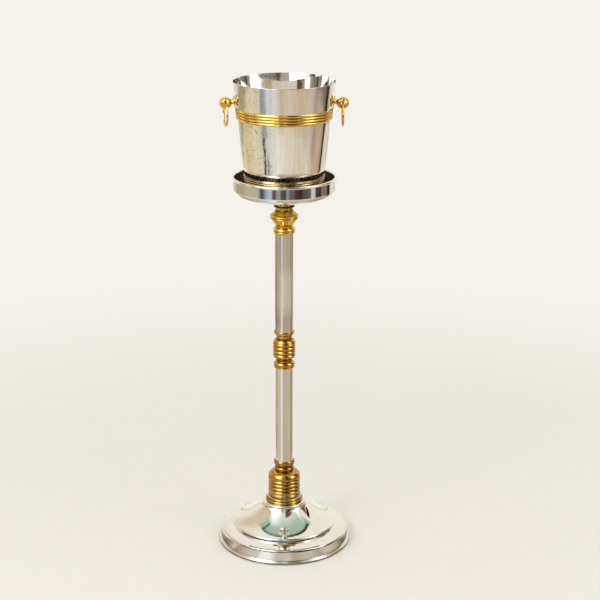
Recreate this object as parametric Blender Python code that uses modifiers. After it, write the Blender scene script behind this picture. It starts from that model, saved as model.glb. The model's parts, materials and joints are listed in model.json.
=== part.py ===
"""Ice bucket on a column stand.

A tapered steel bucket with a ribbed brass band, a brass foot and two swinging
ring handles stands in a chromed dish.  The dish tops a column of chromed tubes
and turned brass fittings, clamped together by one tie rod on a weighted,
spun chromed base.

Frame: origin on the floor under the column's axis, +Z up, the handles on +X
and -X.  Dimensions are in millimetres and become metres in the scene.  Names
ending in _R are radii from a piece's axis, and in _Z heights over the floor.
Outlines are (radius, height) pairs.  Each section opens with its own dimensions.
"""

import math
from collections import namedtuple

import bmesh
import bpy
from mathutils import Matrix, Vector

MM = 0.001

# ================================================================ shared values
GAP = 0.3                # clearance between neighbouring pieces
MERGE_DISTANCE = 0.05    # closes the seam and the tips of turned pieces
SHARP_ANGLE = 32.0       # degrees; steeper corners stay sharp in the shading

BIG_SEGMENTS = 36        # facets round the base, dish and bucket
COLUMN_SEGMENTS = 24     # facets round the column's fittings and the weight
SMALL_SEGMENTS = 16      # facets round the handle fittings, tie rod washers and bores
PIN_SEGMENTS = 12        # facets round the rod, the handle screws and their washers

ROD_R = 5.0
ROD_HOLE_R = 5.7         # hole for the tie rod in every piece it passes through
ROD_BOTTOM_Z = 3.2
ROD_TOP_Z = 719.0
NUT_FLATS = 17.0
NUT_HEIGHT = 7.8

Look = namedtuple("Look", "colour roughness metallic")
CHROME = Look(colour=(0.78, 0.79, 0.80), roughness=0.10, metallic=1.0)
STEEL = Look(colour=(0.66, 0.64, 0.60), roughness=0.30, metallic=1.0)
BRASS = Look(colour=(0.80, 0.58, 0.24), roughness=0.20, metallic=1.0)
AGED_BRASS = Look(colour=(0.62, 0.43, 0.16), roughness=0.28, metallic=1.0)
BLACK = Look(colour=(0.02, 0.02, 0.02), roughness=0.50, metallic=0.0)
IRON = Look(colour=(0.10, 0.10, 0.11), roughness=0.70, metallic=1.0)
ZINC = Look(colour=(0.55, 0.56, 0.58), roughness=0.40, metallic=1.0)
FELT = Look(colour=(0.03, 0.09, 0.05), roughness=0.95, metallic=0.0)


# ================================================================ scene
def clear_scene():
    for obj in list(bpy.data.objects):
        bpy.data.objects.remove(obj, do_unlink=True)


def make_collection(name):
    collection = bpy.data.collections.new(name)
    bpy.context.scene.collection.children.link(collection)
    return collection


clear_scene()
PARTS = make_collection("ice_bucket")
CUTTERS = make_collection("cutters")


# ================================================================ object helpers
def material(name, look):
    made = bpy.data.materials.new(name)
    made.use_nodes = True
    shader = made.node_tree.nodes["Principled BSDF"]
    shader.inputs["Base Color"].default_value = (*look.colour, 1.0)
    shader.inputs["Roughness"].default_value = look.roughness
    shader.inputs["Metallic"].default_value = look.metallic
    made.diffuse_color = (*look.colour, 1.0)
    return made


def new_object(name, mesh, look=None):
    """A visible part, or a cutter when it is given no look."""
    obj = bpy.data.objects.new(name, mesh)
    if look is None:
        CUTTERS.objects.link(obj)
        obj.hide_render = True
        obj.display_type = "WIRE"
    else:
        PARTS.objects.link(obj)
        mesh.materials.append(material(name, look))
    return obj


def new_axis(name):
    """An empty that carries the frame of the pieces parented to it."""
    axis = bpy.data.objects.new(name, None)
    axis.empty_display_size = 0.02
    PARTS.objects.link(axis)
    return axis


def turned(name, outline, look, segments, closed=True, parent=None):
    """An outline turned about local Z, with its modifier still live.

    The outline runs down the outer side and up the inner side, from any point
    of the loop; an open outline starts and ends on the axis."""
    mesh = bpy.data.meshes.new(name)
    points = [(r * MM, 0.0, z * MM) for r, z in outline]
    edges = [(i, i + 1) for i in range(len(points) - 1)]
    if closed:
        edges.append((len(points) - 1, 0))
    mesh.from_pydata(points, edges, [])
    obj = new_object(name, mesh, look)
    obj.parent = parent
    screw = obj.modifiers.new("Turn", "SCREW")
    screw.axis = "Z"
    screw.angle = 2 * math.pi
    screw.steps = segments
    screw.render_steps = segments
    screw.use_merge_vertices = True
    screw.merge_threshold = MERGE_DISTANCE * MM
    screw.use_smooth_shade = True
    return obj


def cut(obj, cutter):
    boolean = obj.modifiers.new("Cut", "BOOLEAN")
    boolean.operation = "DIFFERENCE"
    boolean.solver = "EXACT"
    boolean.object = cutter


def settle(obj):
    """Turn the modifiers into mesh, shaded smooth with sharp corners kept."""
    bpy.context.view_layer.update()
    graph = bpy.context.evaluated_depsgraph_get()
    mesh = bpy.data.meshes.new_from_object(obj.evaluated_get(graph))
    obj.modifiers.clear()
    obj.data = mesh
    mesh.shade_smooth()
    mesh.set_sharp_from_angle(angle=math.radians(SHARP_ANGLE))


def turned_part(name, outline, look, segments, closed=True, parent=None):
    """A finished turned piece that needs no cuts."""
    settle(turned(name, outline, look, segments, closed, parent))


def ring_washer(name, inner, outer, low, high, look, segments):
    outline = [(outer, high), (outer, low), (inner, low), (inner, high)]
    turned_part(name, outline, look, segments)


def cylinder_mesh(name, radius, length, segments):
    """A capped cylinder or prism along local Z, centred on its origin."""
    builder = bmesh.new()
    bmesh.ops.create_cone(
        builder, cap_ends=True, segments=segments,
        radius1=radius * MM, radius2=radius * MM, depth=length * MM,
    )
    mesh = bpy.data.meshes.new(name)
    builder.to_mesh(mesh)
    builder.free()
    return mesh


def hex_nut(name, bottom_z):
    nut = new_object(name, cylinder_mesh(name, NUT_FLATS / math.sqrt(3), NUT_HEIGHT, 6), ZINC)
    nut.location.z = (bottom_z + NUT_HEIGHT / 2) * MM
    bore_name = name + "_bore"
    bore = new_object(
        bore_name, cylinder_mesh(bore_name, ROD_HOLE_R, 2 * NUT_HEIGHT, SMALL_SEGMENTS))
    bore.location = nut.location
    cut(nut, bore)
    settle(nut)


# ================================================================ outline helpers
def arc(centre, radius, start, end, steps):
    """Points on a circle in the (radius, height) plane, angles in degrees."""
    points = []
    for i in range(steps + 1):
        angle = math.radians(start + (end - start) * i / steps)
        points.append((centre[0] + radius * math.cos(angle),
                       centre[1] + radius * math.sin(angle)))
    return points


def inset(line, distance):
    """The line moved sideways, to its right as it runs, with mitred corners."""
    normals = []
    for (r, z), (next_r, next_z) in zip(line, line[1:]):
        length = math.hypot(next_r - r, next_z - z)
        normals.append(((next_z - z) / length, (r - next_r) / length))
    moved = []
    for i, (r, z) in enumerate(line):
        # A corner has two neighbouring segments, an end of the line only one.
        beside = normals[max(i - 1, 0):i + 1]
        normal_r = sum(normal[0] for normal in beside) / len(beside)
        normal_z = sum(normal[1] for normal in beside) / len(beside)
        reach = distance / (normal_r ** 2 + normal_z ** 2)
        moved.append((r + reach * normal_r, z + reach * normal_z))
    return moved


def flat_ribs(first_z, count, pitch, crest_r, valley_r):
    """Flat-topped ribs from the top one down to the first, with a valley between each."""
    crest_half = 0.22 * pitch
    points = []
    for i in reversed(range(count)):
        z = first_z + i * pitch
        points += [(crest_r, z + crest_half), (crest_r, z - crest_half)]
        if i:
            points.append((valley_r, z - 0.5 * pitch))
    return points


# ================================================================ base
FELT_THICK = 2.0
FELT_R = 121.0
COVER_THICK = 2.0
COVER_R = 122.5
COVER_Z = FELT_THICK + GAP              # underside
SERVICE_HOLE_R = 24.0    # opening in felt and cover that gives access to the nut

WEIGHT_Z = COVER_Z + COVER_THICK + GAP  # underside
WEIGHT_R = 121.0
WEIGHT_HUB_R = 30.0
WEIGHT_HUB_Z = 24.0
WEIGHT_HUB_FLARE = 4.0   # how far the hub spreads down to the web
WEIGHT_WEB_Z = 11.0
# Raised rim of the weight: (radius, height), from the web's outer edge outward.
WEIGHT_RIM = ((98.5, WEIGHT_WEB_Z), (103.2, 31.2), (104.5, 31.2), (119.4, 25.6), (WEIGHT_R, 24.0))
COUNTERBORE_R = 22.0
COUNTERBORE_Z = 15.0     # roof of the recess for washer and nut
BASE_WASHER_R = 18.0
BASE_WASHER_THICK = 1.6

BASE_SHEET = 1.2
SHELL_HOLE_R = ROD_HOLE_R + 0.5
BELL_TOP_Z = 84.5
BELL_FOOT = (98.8, 41.1)  # where the bell's flare meets the disc's rounded edge
BELL_FOOT_TILT = 69.5    # degrees a surface's normal leans up from level
# The bell above its foot, as arcs that join smoothly: radius (below 0 for a
# bulge), tilt at the upper end, steps.  Two flares, the waist, the shoulder.
BELL_ARCS = ((125.0, 54.5, 3), (230.0, 47.5, 2), (12.0, 5.0, 3), (-2.8, 88.0, 3))
DISC_R = 101.0
DISC_EDGE_ROUND = 3.4
BASE_WALL_R = 126.0
# From the disc's lower edge over the sloping annulus and down the wall: (radius, height).
BASE_SKIRT = ((DISC_R, 34.0), (121.5, 29.5), (124.6, 27.8), (BASE_WALL_R, 24.4), (BASE_WALL_R, 7.4))
BASE_BEAD_CENTRE_R = 127.0  # rolled bead at the foot of the shell
BASE_BEAD_WIRE_R = 3.0


def build_felt_and_cover():
    ring_washer("felt_pad", SERVICE_HOLE_R, FELT_R, 0.0, FELT_THICK, FELT, BIG_SEGMENTS)
    ring_washer("base_cover", SERVICE_HOLE_R, COVER_R, COVER_Z, COVER_Z + COVER_THICK,
                ZINC, BIG_SEGMENTS)


def build_weight():
    turned_part("base_weight", [
        (WEIGHT_HUB_R, WEIGHT_HUB_Z), (WEIGHT_HUB_R + WEIGHT_HUB_FLARE, WEIGHT_WEB_Z),
        *WEIGHT_RIM, (WEIGHT_R, WEIGHT_Z),
        (COUNTERBORE_R, WEIGHT_Z), (COUNTERBORE_R, COUNTERBORE_Z),
        (ROD_HOLE_R, COUNTERBORE_Z), (ROD_HOLE_R, WEIGHT_HUB_Z),
    ], IRON, COLUMN_SEGMENTS)


def bell_line():
    """The bell from its shoulder down to the disc's edge."""
    points = [BELL_FOOT]
    tilt = BELL_FOOT_TILT
    for radius, end_tilt, steps in BELL_ARCS:
        r, z = points[-1]
        angle = math.radians(tilt)
        # The centre lies out along the surface's normal, so the arc uses -radius.
        centre = (r + radius * math.cos(angle), z + radius * math.sin(angle))
        points += arc(centre, -radius, tilt, end_tilt, steps)[1:]
        tilt = end_tilt
    return points[::-1]


def build_base_shell():
    edge_drop = DISC_EDGE_ROUND * math.sin(math.radians(BELL_FOOT_TILT))
    disc_edge = arc((DISC_R - DISC_EDGE_ROUND, BELL_FOOT[1] - edge_drop), DISC_EDGE_ROUND,
                    start=BELL_FOOT_TILT, end=0, steps=2)
    outer = [(SHELL_HOLE_R, BELL_TOP_Z), *bell_line(), *disc_edge[1:], *BASE_SKIRT]
    bead = arc((BASE_BEAD_CENTRE_R, BASE_BEAD_WIRE_R + GAP), BASE_BEAD_WIRE_R,
               start=125, end=-190, steps=6)
    inner = inset(outer, BASE_SHEET)[::-1]
    turned_part("base_shell", outer + bead + inner, CHROME, BIG_SEGMENTS)


def build_base_fixing():
    """Washer and nut of the tie rod, in the weight's counterbore."""
    washer_top = COUNTERBORE_Z - GAP
    washer_bottom = washer_top - BASE_WASHER_THICK
    ring_washer("base_washer", ROD_HOLE_R, BASE_WASHER_R, washer_bottom, washer_top,
                ZINC, SMALL_SEGMENTS)
    hex_nut("base_nut", washer_bottom - GAP - NUT_HEIGHT)


# ================================================================ column
# The fittings stack upward, each a GAP above the one below.  A tube's ends stand
# a GAP short of the socket bottoms in the collars that hold it.
FLANGE_Z = (BELL_TOP_Z + GAP, 93.6)
FLANGE_R = 36.5

DRUM_Z = (FLANGE_Z[1] + GAP, 147.0)
DRUM_R = 31.6
DRUM_VALLEY_R = DRUM_R - 1.3
DRUM_RIBS = 5
DRUM_RIB_PITCH = 7.4
DRUM_FIRST_RIB_Z = 97.4
DRUM_BORE_R = 25.0
# Domed top of the drum, from the axis outward: (radius, height).
DRUM_DOME = ((16.5, DRUM_Z[1]), (21.0, 146.0), (27.0, 142.5), (30.5, 137.5), (DRUM_R - 0.1, 133.6))

FOOT_BEAD_Z = (DRUM_Z[1] + GAP, 157.6)
FOOT_BEAD_R = 19.4
FOOT_BEAD_ROUND = 5.0
FOOT_BEAD_CENTRE_RISE = 3.4  # centre of the rounding over the bead's underside

COLLAR_R = 20.5
TUBE_R = 18.0
TUBE_WALL = 1.6
SOCKET_R = TUBE_R + GAP

FOOT_COLLAR_Z = (FOOT_BEAD_Z[1] + GAP, 167.7)
FOOT_SOCKET_Z = 161.5

MID_LOWER_COLLAR_Z = (361.5, 374.5)
MID_LOWER_SOCKET_Z = 370.3

BARREL_Z = (MID_LOWER_COLLAR_Z[1] + GAP, 426.7)
BARREL_R = 22.0
BARREL_VALLEY_R = BARREL_R - 2.0
BARREL_RIBS = 4
BARREL_RIB_PITCH = 7.66
BARREL_FIRST_RIB_Z = 387.0
BARREL_TOP_VALLEY_DROP = 0.2  # the valley over the top rib sits below its even pitch
BARREL_NECK_R = 15.3
BARREL_BORE_R = 10.5

MID_UPPER_COLLAR_Z = (BARREL_Z[1] + GAP, 435.5)
MID_UPPER_SOCKET_Z = 431.3

CAPITAL_COLLAR_Z = (629.3, 643.2)
CAPITAL_SOCKET_Z = 637.3

KNOP_Z = (CAPITAL_COLLAR_Z[1] + GAP, 681.2)
KNOP_R = 27.2
KNOP_NECK_R = 16.4
KNOP_BORE_R = 11.0
# Bulge of the knop, from its upper neck down: (radius, height).
KNOP_BULGE = (
    (KNOP_NECK_R, 674.0), (22.6, 669.6), (25.3, 666.5), (KNOP_R, 663.6), (KNOP_R, 661.0),
    (25.7, 657.8), (22.8, 654.3), (20.1, 650.4), (17.5, 647.0), (16.5, KNOP_Z[0]),
)

NECK_WASHER_Z = (KNOP_Z[1] + GAP, 684.0)
NECK_WASHER_R = 20.1
NECK_WASHER_INSET = 0.5  # edge chamfer, across
NECK_WASHER_DROP = 0.6   # edge chamfer, in height


def build_base_flange():
    low, high = FLANGE_Z
    turned_part("base_flange", [
        (FLANGE_R - 4.0, high), (FLANGE_R - 1.5, high - 2.0), (FLANGE_R, high - 5.6),
        (FLANGE_R, low + 1.2), (FLANGE_R - 0.9, low), (ROD_HOLE_R, low), (ROD_HOLE_R, high),
    ], AGED_BRASS, COLUMN_SEGMENTS)


def build_ribbed_drum():
    low, high = DRUM_Z
    top_valley_z = DRUM_FIRST_RIB_Z + (DRUM_RIBS - 0.5) * DRUM_RIB_PITCH
    turned_part("ribbed_drum", [
        *DRUM_DOME, (DRUM_VALLEY_R, top_valley_z),
        *flat_ribs(DRUM_FIRST_RIB_Z, DRUM_RIBS, DRUM_RIB_PITCH, DRUM_R, DRUM_VALLEY_R),
        (DRUM_VALLEY_R, low), (DRUM_BORE_R, low), (DRUM_BORE_R, 137.5),
        (ROD_HOLE_R, 141.0), (ROD_HOLE_R, high),
    ], AGED_BRASS, COLUMN_SEGMENTS)


def build_foot_bead():
    low, high = FOOT_BEAD_Z
    centre = (FOOT_BEAD_R - FOOT_BEAD_ROUND, low + FOOT_BEAD_CENTRE_RISE)
    turned_part("foot_bead", [
        (16.2, high), (16.2, 155.6),
        *arc(centre, FOOT_BEAD_ROUND, start=68, end=-30, steps=3),
        (17.6, low), (ROD_HOLE_R, low), (ROD_HOLE_R, high),
    ], AGED_BRASS, COLUMN_SEGMENTS)


def build_foot_collar():
    low, high = FOOT_COLLAR_Z
    turned_part("foot_collar", [
        (SOCKET_R, high), (19.9, high), (COLLAR_R, high - 1.2), (COLLAR_R, 160.2), (17.4, low),
        (ROD_HOLE_R, low), (ROD_HOLE_R, FOOT_SOCKET_Z), (SOCKET_R, FOOT_SOCKET_Z),
    ], AGED_BRASS, COLUMN_SEGMENTS)


def build_tube(name, lower_socket_z, upper_socket_z):
    ring_washer(name, TUBE_R - TUBE_WALL, TUBE_R, lower_socket_z + GAP, upper_socket_z - GAP,
                CHROME, COLUMN_SEGMENTS)


def build_mid_lower_collar():
    low, high = MID_LOWER_COLLAR_Z
    turned_part("mid_lower_collar", [
        (ROD_HOLE_R, high), (15.6, high), (18.6, 372.5), (COLLAR_R, 369.4), (COLLAR_R, 366.3),
        (19.5, 365.0), (19.9, 363.2), (19.2, low),
        (SOCKET_R, low), (SOCKET_R, MID_LOWER_SOCKET_Z), (ROD_HOLE_R, MID_LOWER_SOCKET_Z),
    ], BRASS, COLUMN_SEGMENTS)


def build_mid_barrel():
    low, high = BARREL_Z
    top_valley_z = (BARREL_FIRST_RIB_Z + (BARREL_RIBS - 0.5) * BARREL_RIB_PITCH
                    - BARREL_TOP_VALLEY_DROP)
    turned_part("mid_barrel", [
        (ROD_HOLE_R, high), (BARREL_NECK_R, high), (BARREL_NECK_R, 419.6), (19.0, 417.6),
        (21.0, 414.6), (BARREL_VALLEY_R, top_valley_z),
        *flat_ribs(BARREL_FIRST_RIB_Z, BARREL_RIBS, BARREL_RIB_PITCH, BARREL_R, BARREL_VALLEY_R),
        (20.6, 383.2), (BARREL_NECK_R, 378.2), (BARREL_NECK_R, low),
        (BARREL_BORE_R, low), (BARREL_BORE_R, 416.0), (ROD_HOLE_R, 418.5),
    ], BRASS, COLUMN_SEGMENTS)


def build_mid_upper_collar():
    low, high = MID_UPPER_COLLAR_Z
    turned_part("mid_upper_collar", [
        (SOCKET_R, high), (19.8, high), (20.1, 434.8), (20.1, 432.6), (18.4, 429.3), (15.6, low),
        (ROD_HOLE_R, low), (ROD_HOLE_R, MID_UPPER_SOCKET_Z), (SOCKET_R, MID_UPPER_SOCKET_Z),
    ], BRASS, COLUMN_SEGMENTS)


def build_capital_collar():
    low, high = CAPITAL_COLLAR_Z
    turned_part("capital_collar", [
        (ROD_HOLE_R, high), (16.6, high), (16.8, 642.0), (19.3, 640.2), (20.6, 638.2),
        (20.6, 636.2), (20.0, 635.0), (20.5, 633.6), (20.2, 631.4), (19.1, low),
        (SOCKET_R, low), (SOCKET_R, CAPITAL_SOCKET_Z), (ROD_HOLE_R, CAPITAL_SOCKET_Z),
    ], BRASS, COLUMN_SEGMENTS)


def build_capital_knop():
    low, high = KNOP_Z
    turned_part("capital_knop", [
        (ROD_HOLE_R, high), (KNOP_NECK_R, high), *KNOP_BULGE,
        (KNOP_BORE_R, low), (KNOP_BORE_R, 670.0), (ROD_HOLE_R, 673.0),
    ], BRASS, COLUMN_SEGMENTS)


def build_neck_washer():
    low, high = NECK_WASHER_Z
    face_r = NECK_WASHER_R - NECK_WASHER_INSET
    turned_part("neck_washer", [
        (face_r, high), (NECK_WASHER_R, high - NECK_WASHER_DROP),
        (NECK_WASHER_R, low + NECK_WASHER_DROP), (face_r, low),
        (ROD_HOLE_R, low), (ROD_HOLE_R, high),
    ], BLACK, COLUMN_SEGMENTS)


def build_tie_rod():
    mesh = cylinder_mesh("tie_rod", ROD_R, ROD_TOP_Z - ROD_BOTTOM_Z, PIN_SEGMENTS)
    rod = new_object("tie_rod", mesh, ZINC)
    rod.location.z = (ROD_TOP_Z + ROD_BOTTOM_Z) / 2 * MM
    settle(rod)


# ================================================================ dish
SUPPORT_Z = (NECK_WASHER_Z[1] + GAP, 704.4)
SUPPORT_R = 28.0
SUPPORT_EDGE = 2.6       # height of the support's upright edge
DISH_Z = SUPPORT_Z[1] + GAP             # underside
DISH_SHEET = 1.0
DISH_FLOOR_Z = DISH_Z + DISH_SHEET      # upper face of the floor
DISH_WALL_R = 95.4
DISH_CORNER_R = 11.5
DISH_BEAD_CENTRE = (96.4, 738.0)        # (radius, height)
DISH_BEAD_WIRE_R = 2.6
DISH_WALL_TOP_Z = DISH_BEAD_CENTRE[1] - 3.4
TRAY_WASHER_R = 15.0
TRAY_WASHER_THICK = 1.8


def build_tray_support():
    low, high = SUPPORT_Z
    turned_part("tray_support", [
        (ROD_HOLE_R, high), (SUPPORT_R, high), (SUPPORT_R, high - SUPPORT_EDGE), (19.5, 698.5),
        (KNOP_NECK_R, 694.0), (KNOP_NECK_R, low), (ROD_HOLE_R, low),
    ], BRASS, COLUMN_SEGMENTS)


def build_tray_dish():
    corner = (DISH_WALL_R - DISH_CORNER_R, DISH_Z + DISH_CORNER_R)
    outer = [
        (DISH_WALL_R, DISH_WALL_TOP_Z),
        *arc(corner, DISH_CORNER_R, start=0, end=-90, steps=3),
        (ROD_HOLE_R, DISH_Z),
    ]
    inner = inset(outer, DISH_SHEET)[::-1]
    bead = arc(DISH_BEAD_CENTRE, DISH_BEAD_WIRE_R, start=170, end=-130, steps=5)
    turned_part("tray_dish", bead + outer + inner, CHROME, BIG_SEGMENTS)


def build_tray_fixing():
    """Washer and nut of the tie rod, on the dish's floor."""
    washer_bottom = DISH_FLOOR_Z + GAP
    washer_top = washer_bottom + TRAY_WASHER_THICK
    ring_washer("tray_washer", ROD_HOLE_R, TRAY_WASHER_R, washer_bottom, washer_top,
                ZINC, SMALL_SEGMENTS)
    hex_nut("tray_nut", washer_top + GAP)


# ================================================================ bucket
WALL_SLOPE = 0.119       # growth of radius with height
WALL_REF_Z = 760.7
WALL_REF_R = 76.9        # outer radius at WALL_REF_Z
WALL_TUCK = 1.1          # how far the wall draws in just above the foot ring
WALL_BEND_Z = 870.0      # extra point on the straight wall
TUCK_TOP_Z = 760.0
TUCK_MIDDLE_Z = 751.0
TUCK_MIDDLE_SHARE = 0.4  # part of the tuck reached at TUCK_MIDDLE_Z
RIM_Z = 919.0
BUCKET_Z = 723.0         # underside
BUCKET_CORNER_R = 4.0
BUCKET_SHEET = 1.2

BAND_Z = (849.4, 870.3)
BAND_RIBS = 4
BAND_PITCH = 5.2
BAND_CREST = 2.1         # height of a rib over the wall
BAND_VALLEY = 0.9

FOOT_RING_Z = (DISH_FLOOR_Z + GAP, 742.6)
FOOT_RING_LIP = 1.6      # upper edge over the wall
FOOT_RIBS = 4
FOOT_RIB_TOP_Z = 740.8
FOOT_RIB_PITCH = 3.5
FOOT_CREST = 2.3
FOOT_VALLEY = 1.3
FOOT_BORE_R = 72.9
# Outer side of the foot below its ribs, from the top down: (radius, height).
FOOT_WAIST = ((74.9, 727.5), (74.4, 716.0), (76.6, 709.6), (76.8, FOOT_RING_Z[0]))


def wall_radius(z):
    return WALL_REF_R + WALL_SLOPE * (z - WALL_REF_Z)


def over_wall(z, height=0.0):
    """An outline point that stands a height over the untucked wall."""
    return (wall_radius(z) + height, z)


def wall_ribs(top_z, count, pitch, crest, valley):
    """Pointed ribs over the wall from the top one down, with a valley between each."""
    points = []
    for i in range(count):
        z = top_z - i * pitch
        if i:
            points.append(over_wall(z + pitch / 2, valley))
        points.append(over_wall(z, crest))
    return points


def build_bucket_shell(frames):
    corner = (wall_radius(BUCKET_Z + BUCKET_CORNER_R) - WALL_TUCK - BUCKET_CORNER_R,
              BUCKET_Z + BUCKET_CORNER_R)
    outer = [
        over_wall(RIM_Z), over_wall(WALL_BEND_Z), over_wall(TUCK_TOP_Z),
        over_wall(TUCK_MIDDLE_Z, -TUCK_MIDDLE_SHARE * WALL_TUCK),
        over_wall(FOOT_RING_Z[1], -WALL_TUCK),
        *arc(corner, BUCKET_CORNER_R, start=0, end=-90, steps=2),
        (0.0, BUCKET_Z),
    ]
    inner = inset(outer, BUCKET_SHEET)
    # Level the rim and bring the floor's end back onto the axis.
    inner[0] = (inner[0][0], RIM_Z)
    inner[-1] = (0.0, inner[-1][1])
    shell = turned("bucket_shell", inner[::-1] + outer, STEEL, BIG_SEGMENTS, closed=False)
    for side, frame in frames.items():
        name = side + "_wall_hole"
        mesh = cylinder_mesh(name, SCREW_HOLE_R, WALL_HOLE_LENGTH, SMALL_SEGMENTS)
        hole = new_object(name, mesh)
        hole.parent = frame
        cut(shell, hole)
    settle(shell)


def build_rib_band():
    low, high = BAND_Z
    top_rib_z = (low + high) / 2 + (BAND_RIBS - 1) / 2 * BAND_PITCH
    turned_part("rib_band", [
        over_wall(high, BAND_VALLEY),
        *wall_ribs(top_rib_z, BAND_RIBS, BAND_PITCH, BAND_CREST, BAND_VALLEY),
        over_wall(low, BAND_VALLEY), over_wall(low, GAP), over_wall(high, GAP),
    ], BRASS, BIG_SEGMENTS)


def build_foot_ring():
    low, high = FOOT_RING_Z
    turned_part("foot_ring", [
        over_wall(high, FOOT_RING_LIP),
        *wall_ribs(FOOT_RIB_TOP_Z, FOOT_RIBS, FOOT_RIB_PITCH, FOOT_CREST, FOOT_VALLEY),
        *FOOT_WAIST, (FOOT_BORE_R, low),
        (FOOT_BORE_R - WALL_TUCK, BUCKET_Z), over_wall(high, GAP - WALL_TUCK),
    ], BRASS, BIG_SEGMENTS)


# ================================================================ handles
# Handle fittings are turned about their handle's axis.  Their lengths are
# measured along it from the wall's outer face, positive outward.
# Side, direction along X, degrees the ring has turned in its loose hole.
HANDLES = (("left", -1, 11.0), ("right", 1, 0.0))
HANDLE_Z = 880.8         # where a handle's axis leaves the bucket wall
HANDLE_LEAN = 10.0       # degrees the axis drops outward; the wall's own normal drops 6.8

ESCUTCHEON_R = 10.2
ESCUTCHEON_BACK = 1.0    # stand-off that clears the wall with that extra lean
ESCUTCHEON_FRONT = ESCUTCHEON_BACK + 2.6
ESCUTCHEON_CHAMFER = 1.0

KNOB_FOOT = ESCUTCHEON_FRONT + GAP
KNOB_FOOT_HEIGHT = 2.0
KNOB_FOOT_FLARE = 1.2
KNOB_NECK_R = 4.9
BALL_OFFSET = 17.6       # ball centre
BALL_R = 10.8
CROSS_HOLE_R = 4.4       # the ring's hole through the ball, widening to both mouths
CROSS_MOUTH_FROM = 7.4   # where the widening starts, from the ball's centre
CROSS_CUT_END = BALL_R + 2.0
CROSS_CUT_END_R = 7.2

SCREW_R = 2.0
SCREW_HOLE_R = 2.6
WALL_HOLE_LENGTH = 12.0  # length of the cutter, half on each side of the wall's face
TAPPED_R = SCREW_R + 0.4
TAPPED_END = 10.4        # blind end of the knob's tapped hole
SCREW_END = TAPPED_END - 0.8
HANDLE_WASHER_R = 5.5
HANDLE_WASHER_THICK = 1.2
# Pan head of the screw: (radius, depth under the head's seat).
SCREW_HEAD = ((4.0, 0.0), (3.8, 1.4), (2.6, 2.2), (0.0, 2.5))

RING_R = 22.0            # centreline
RING_WIRE_R = 1.9
RING_RISE = 1.4          # ring's highest centreline over the ball's centre


def handle_frame(side, direction):
    """Origin on the wall at a handle's axis, local +Z outward, local Y along world Y."""
    frame = new_axis(side + "_handle_axis")
    frame.location = (direction * wall_radius(HANDLE_Z) * MM, 0.0, HANDLE_Z * MM)
    frame.rotation_euler = (0.0, direction * (math.pi / 2 + math.radians(HANDLE_LEAN)), 0.0)
    # The ring's pivot is placed through this frame's world matrix.
    bpy.context.view_layer.update()
    return frame


def build_escutcheon(side, frame):
    low, high = ESCUTCHEON_BACK, ESCUTCHEON_FRONT
    turned_part(side + "_escutcheon", [
        (ESCUTCHEON_R - ESCUTCHEON_CHAMFER, high), (ESCUTCHEON_R, high - ESCUTCHEON_CHAMFER),
        (ESCUTCHEON_R, low), (SCREW_HOLE_R, low), (SCREW_HOLE_R, high),
    ], BRASS, SMALL_SEGMENTS, parent=frame)


def build_knob(side, frame):
    # The ball's arc stops where it meets the neck.
    join = math.degrees(math.asin(KNOB_NECK_R / BALL_R))
    ball = arc((0.0, BALL_OFFSET), BALL_R, start=90, end=-90 + join, steps=7)
    knob = turned(side + "_knob", [
        (0.0, BALL_OFFSET + BALL_R), *ball[1:],
        (KNOB_NECK_R, KNOB_FOOT + KNOB_FOOT_HEIGHT), (KNOB_NECK_R + KNOB_FOOT_FLARE, KNOB_FOOT),
        (TAPPED_R, KNOB_FOOT), (TAPPED_R, TAPPED_END), (0.0, TAPPED_END),
    ], BRASS, SMALL_SEGMENTS, closed=False, parent=frame)

    bore = turned(side + "_cross_hole", [
        (0.0, CROSS_CUT_END), (CROSS_CUT_END_R, CROSS_CUT_END),
        (CROSS_HOLE_R, CROSS_MOUTH_FROM), (CROSS_HOLE_R, -CROSS_MOUTH_FROM),
        (CROSS_CUT_END_R, -CROSS_CUT_END), (0.0, -CROSS_CUT_END),
    ], None, SMALL_SEGMENTS, closed=False, parent=frame)
    bore.location = (0.0, 0.0, BALL_OFFSET * MM)
    bore.rotation_euler = (math.pi / 2, 0.0, 0.0)
    cut(knob, bore)
    settle(knob)


def build_handle_screw(side, frame):
    """Washer and pan-head screw inside the bucket, clear of the hollow wall's curve."""
    face = -BUCKET_SHEET - 3 * GAP
    back = face - HANDLE_WASHER_THICK
    turned_part(side + "_washer", [
        (HANDLE_WASHER_R, face), (HANDLE_WASHER_R, back), (SCREW_HOLE_R, back),
        (SCREW_HOLE_R, face),
    ], ZINC, PIN_SEGMENTS, parent=frame)
    seat = back - GAP
    turned_part(side + "_screw", [
        (0.0, SCREW_END), (SCREW_R, SCREW_END), (SCREW_R, seat),
        *((r, seat - depth) for r, depth in SCREW_HEAD),
    ], ZINC, PIN_SEGMENTS, closed=False, parent=frame)


def build_ring(side, frame, yaw):
    """A ring that hangs from the ball, parented to a pivot at the ball's centre."""
    pivot = new_axis(side + "_ring_pivot")
    pivot.location = frame.matrix_world @ Vector((0.0, 0.0, BALL_OFFSET * MM))
    pivot.rotation_euler = (0.0, 0.0, math.radians(yaw))
    bpy.ops.mesh.primitive_torus_add(
        major_segments=28, minor_segments=6, major_radius=RING_R * MM,
        minor_radius=RING_WIRE_R * MM, location=(0, 0, 0), rotation=(0, 0, 0),
    )
    ring = bpy.context.active_object
    ring.name = side + "_ring"
    for holder in list(ring.users_collection):
        holder.objects.unlink(ring)
    PARTS.objects.link(ring)
    ring.data.name = side + "_ring"
    upright = Matrix.Rotation(math.pi / 2, 4, "Y")
    ring.data.transform(Matrix.Translation((0, 0, (RING_RISE - RING_R) * MM)) @ upright)
    ring.data.materials.append(material(side + "_ring", BRASS))
    ring.data.shade_smooth()
    ring.parent = pivot


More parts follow.
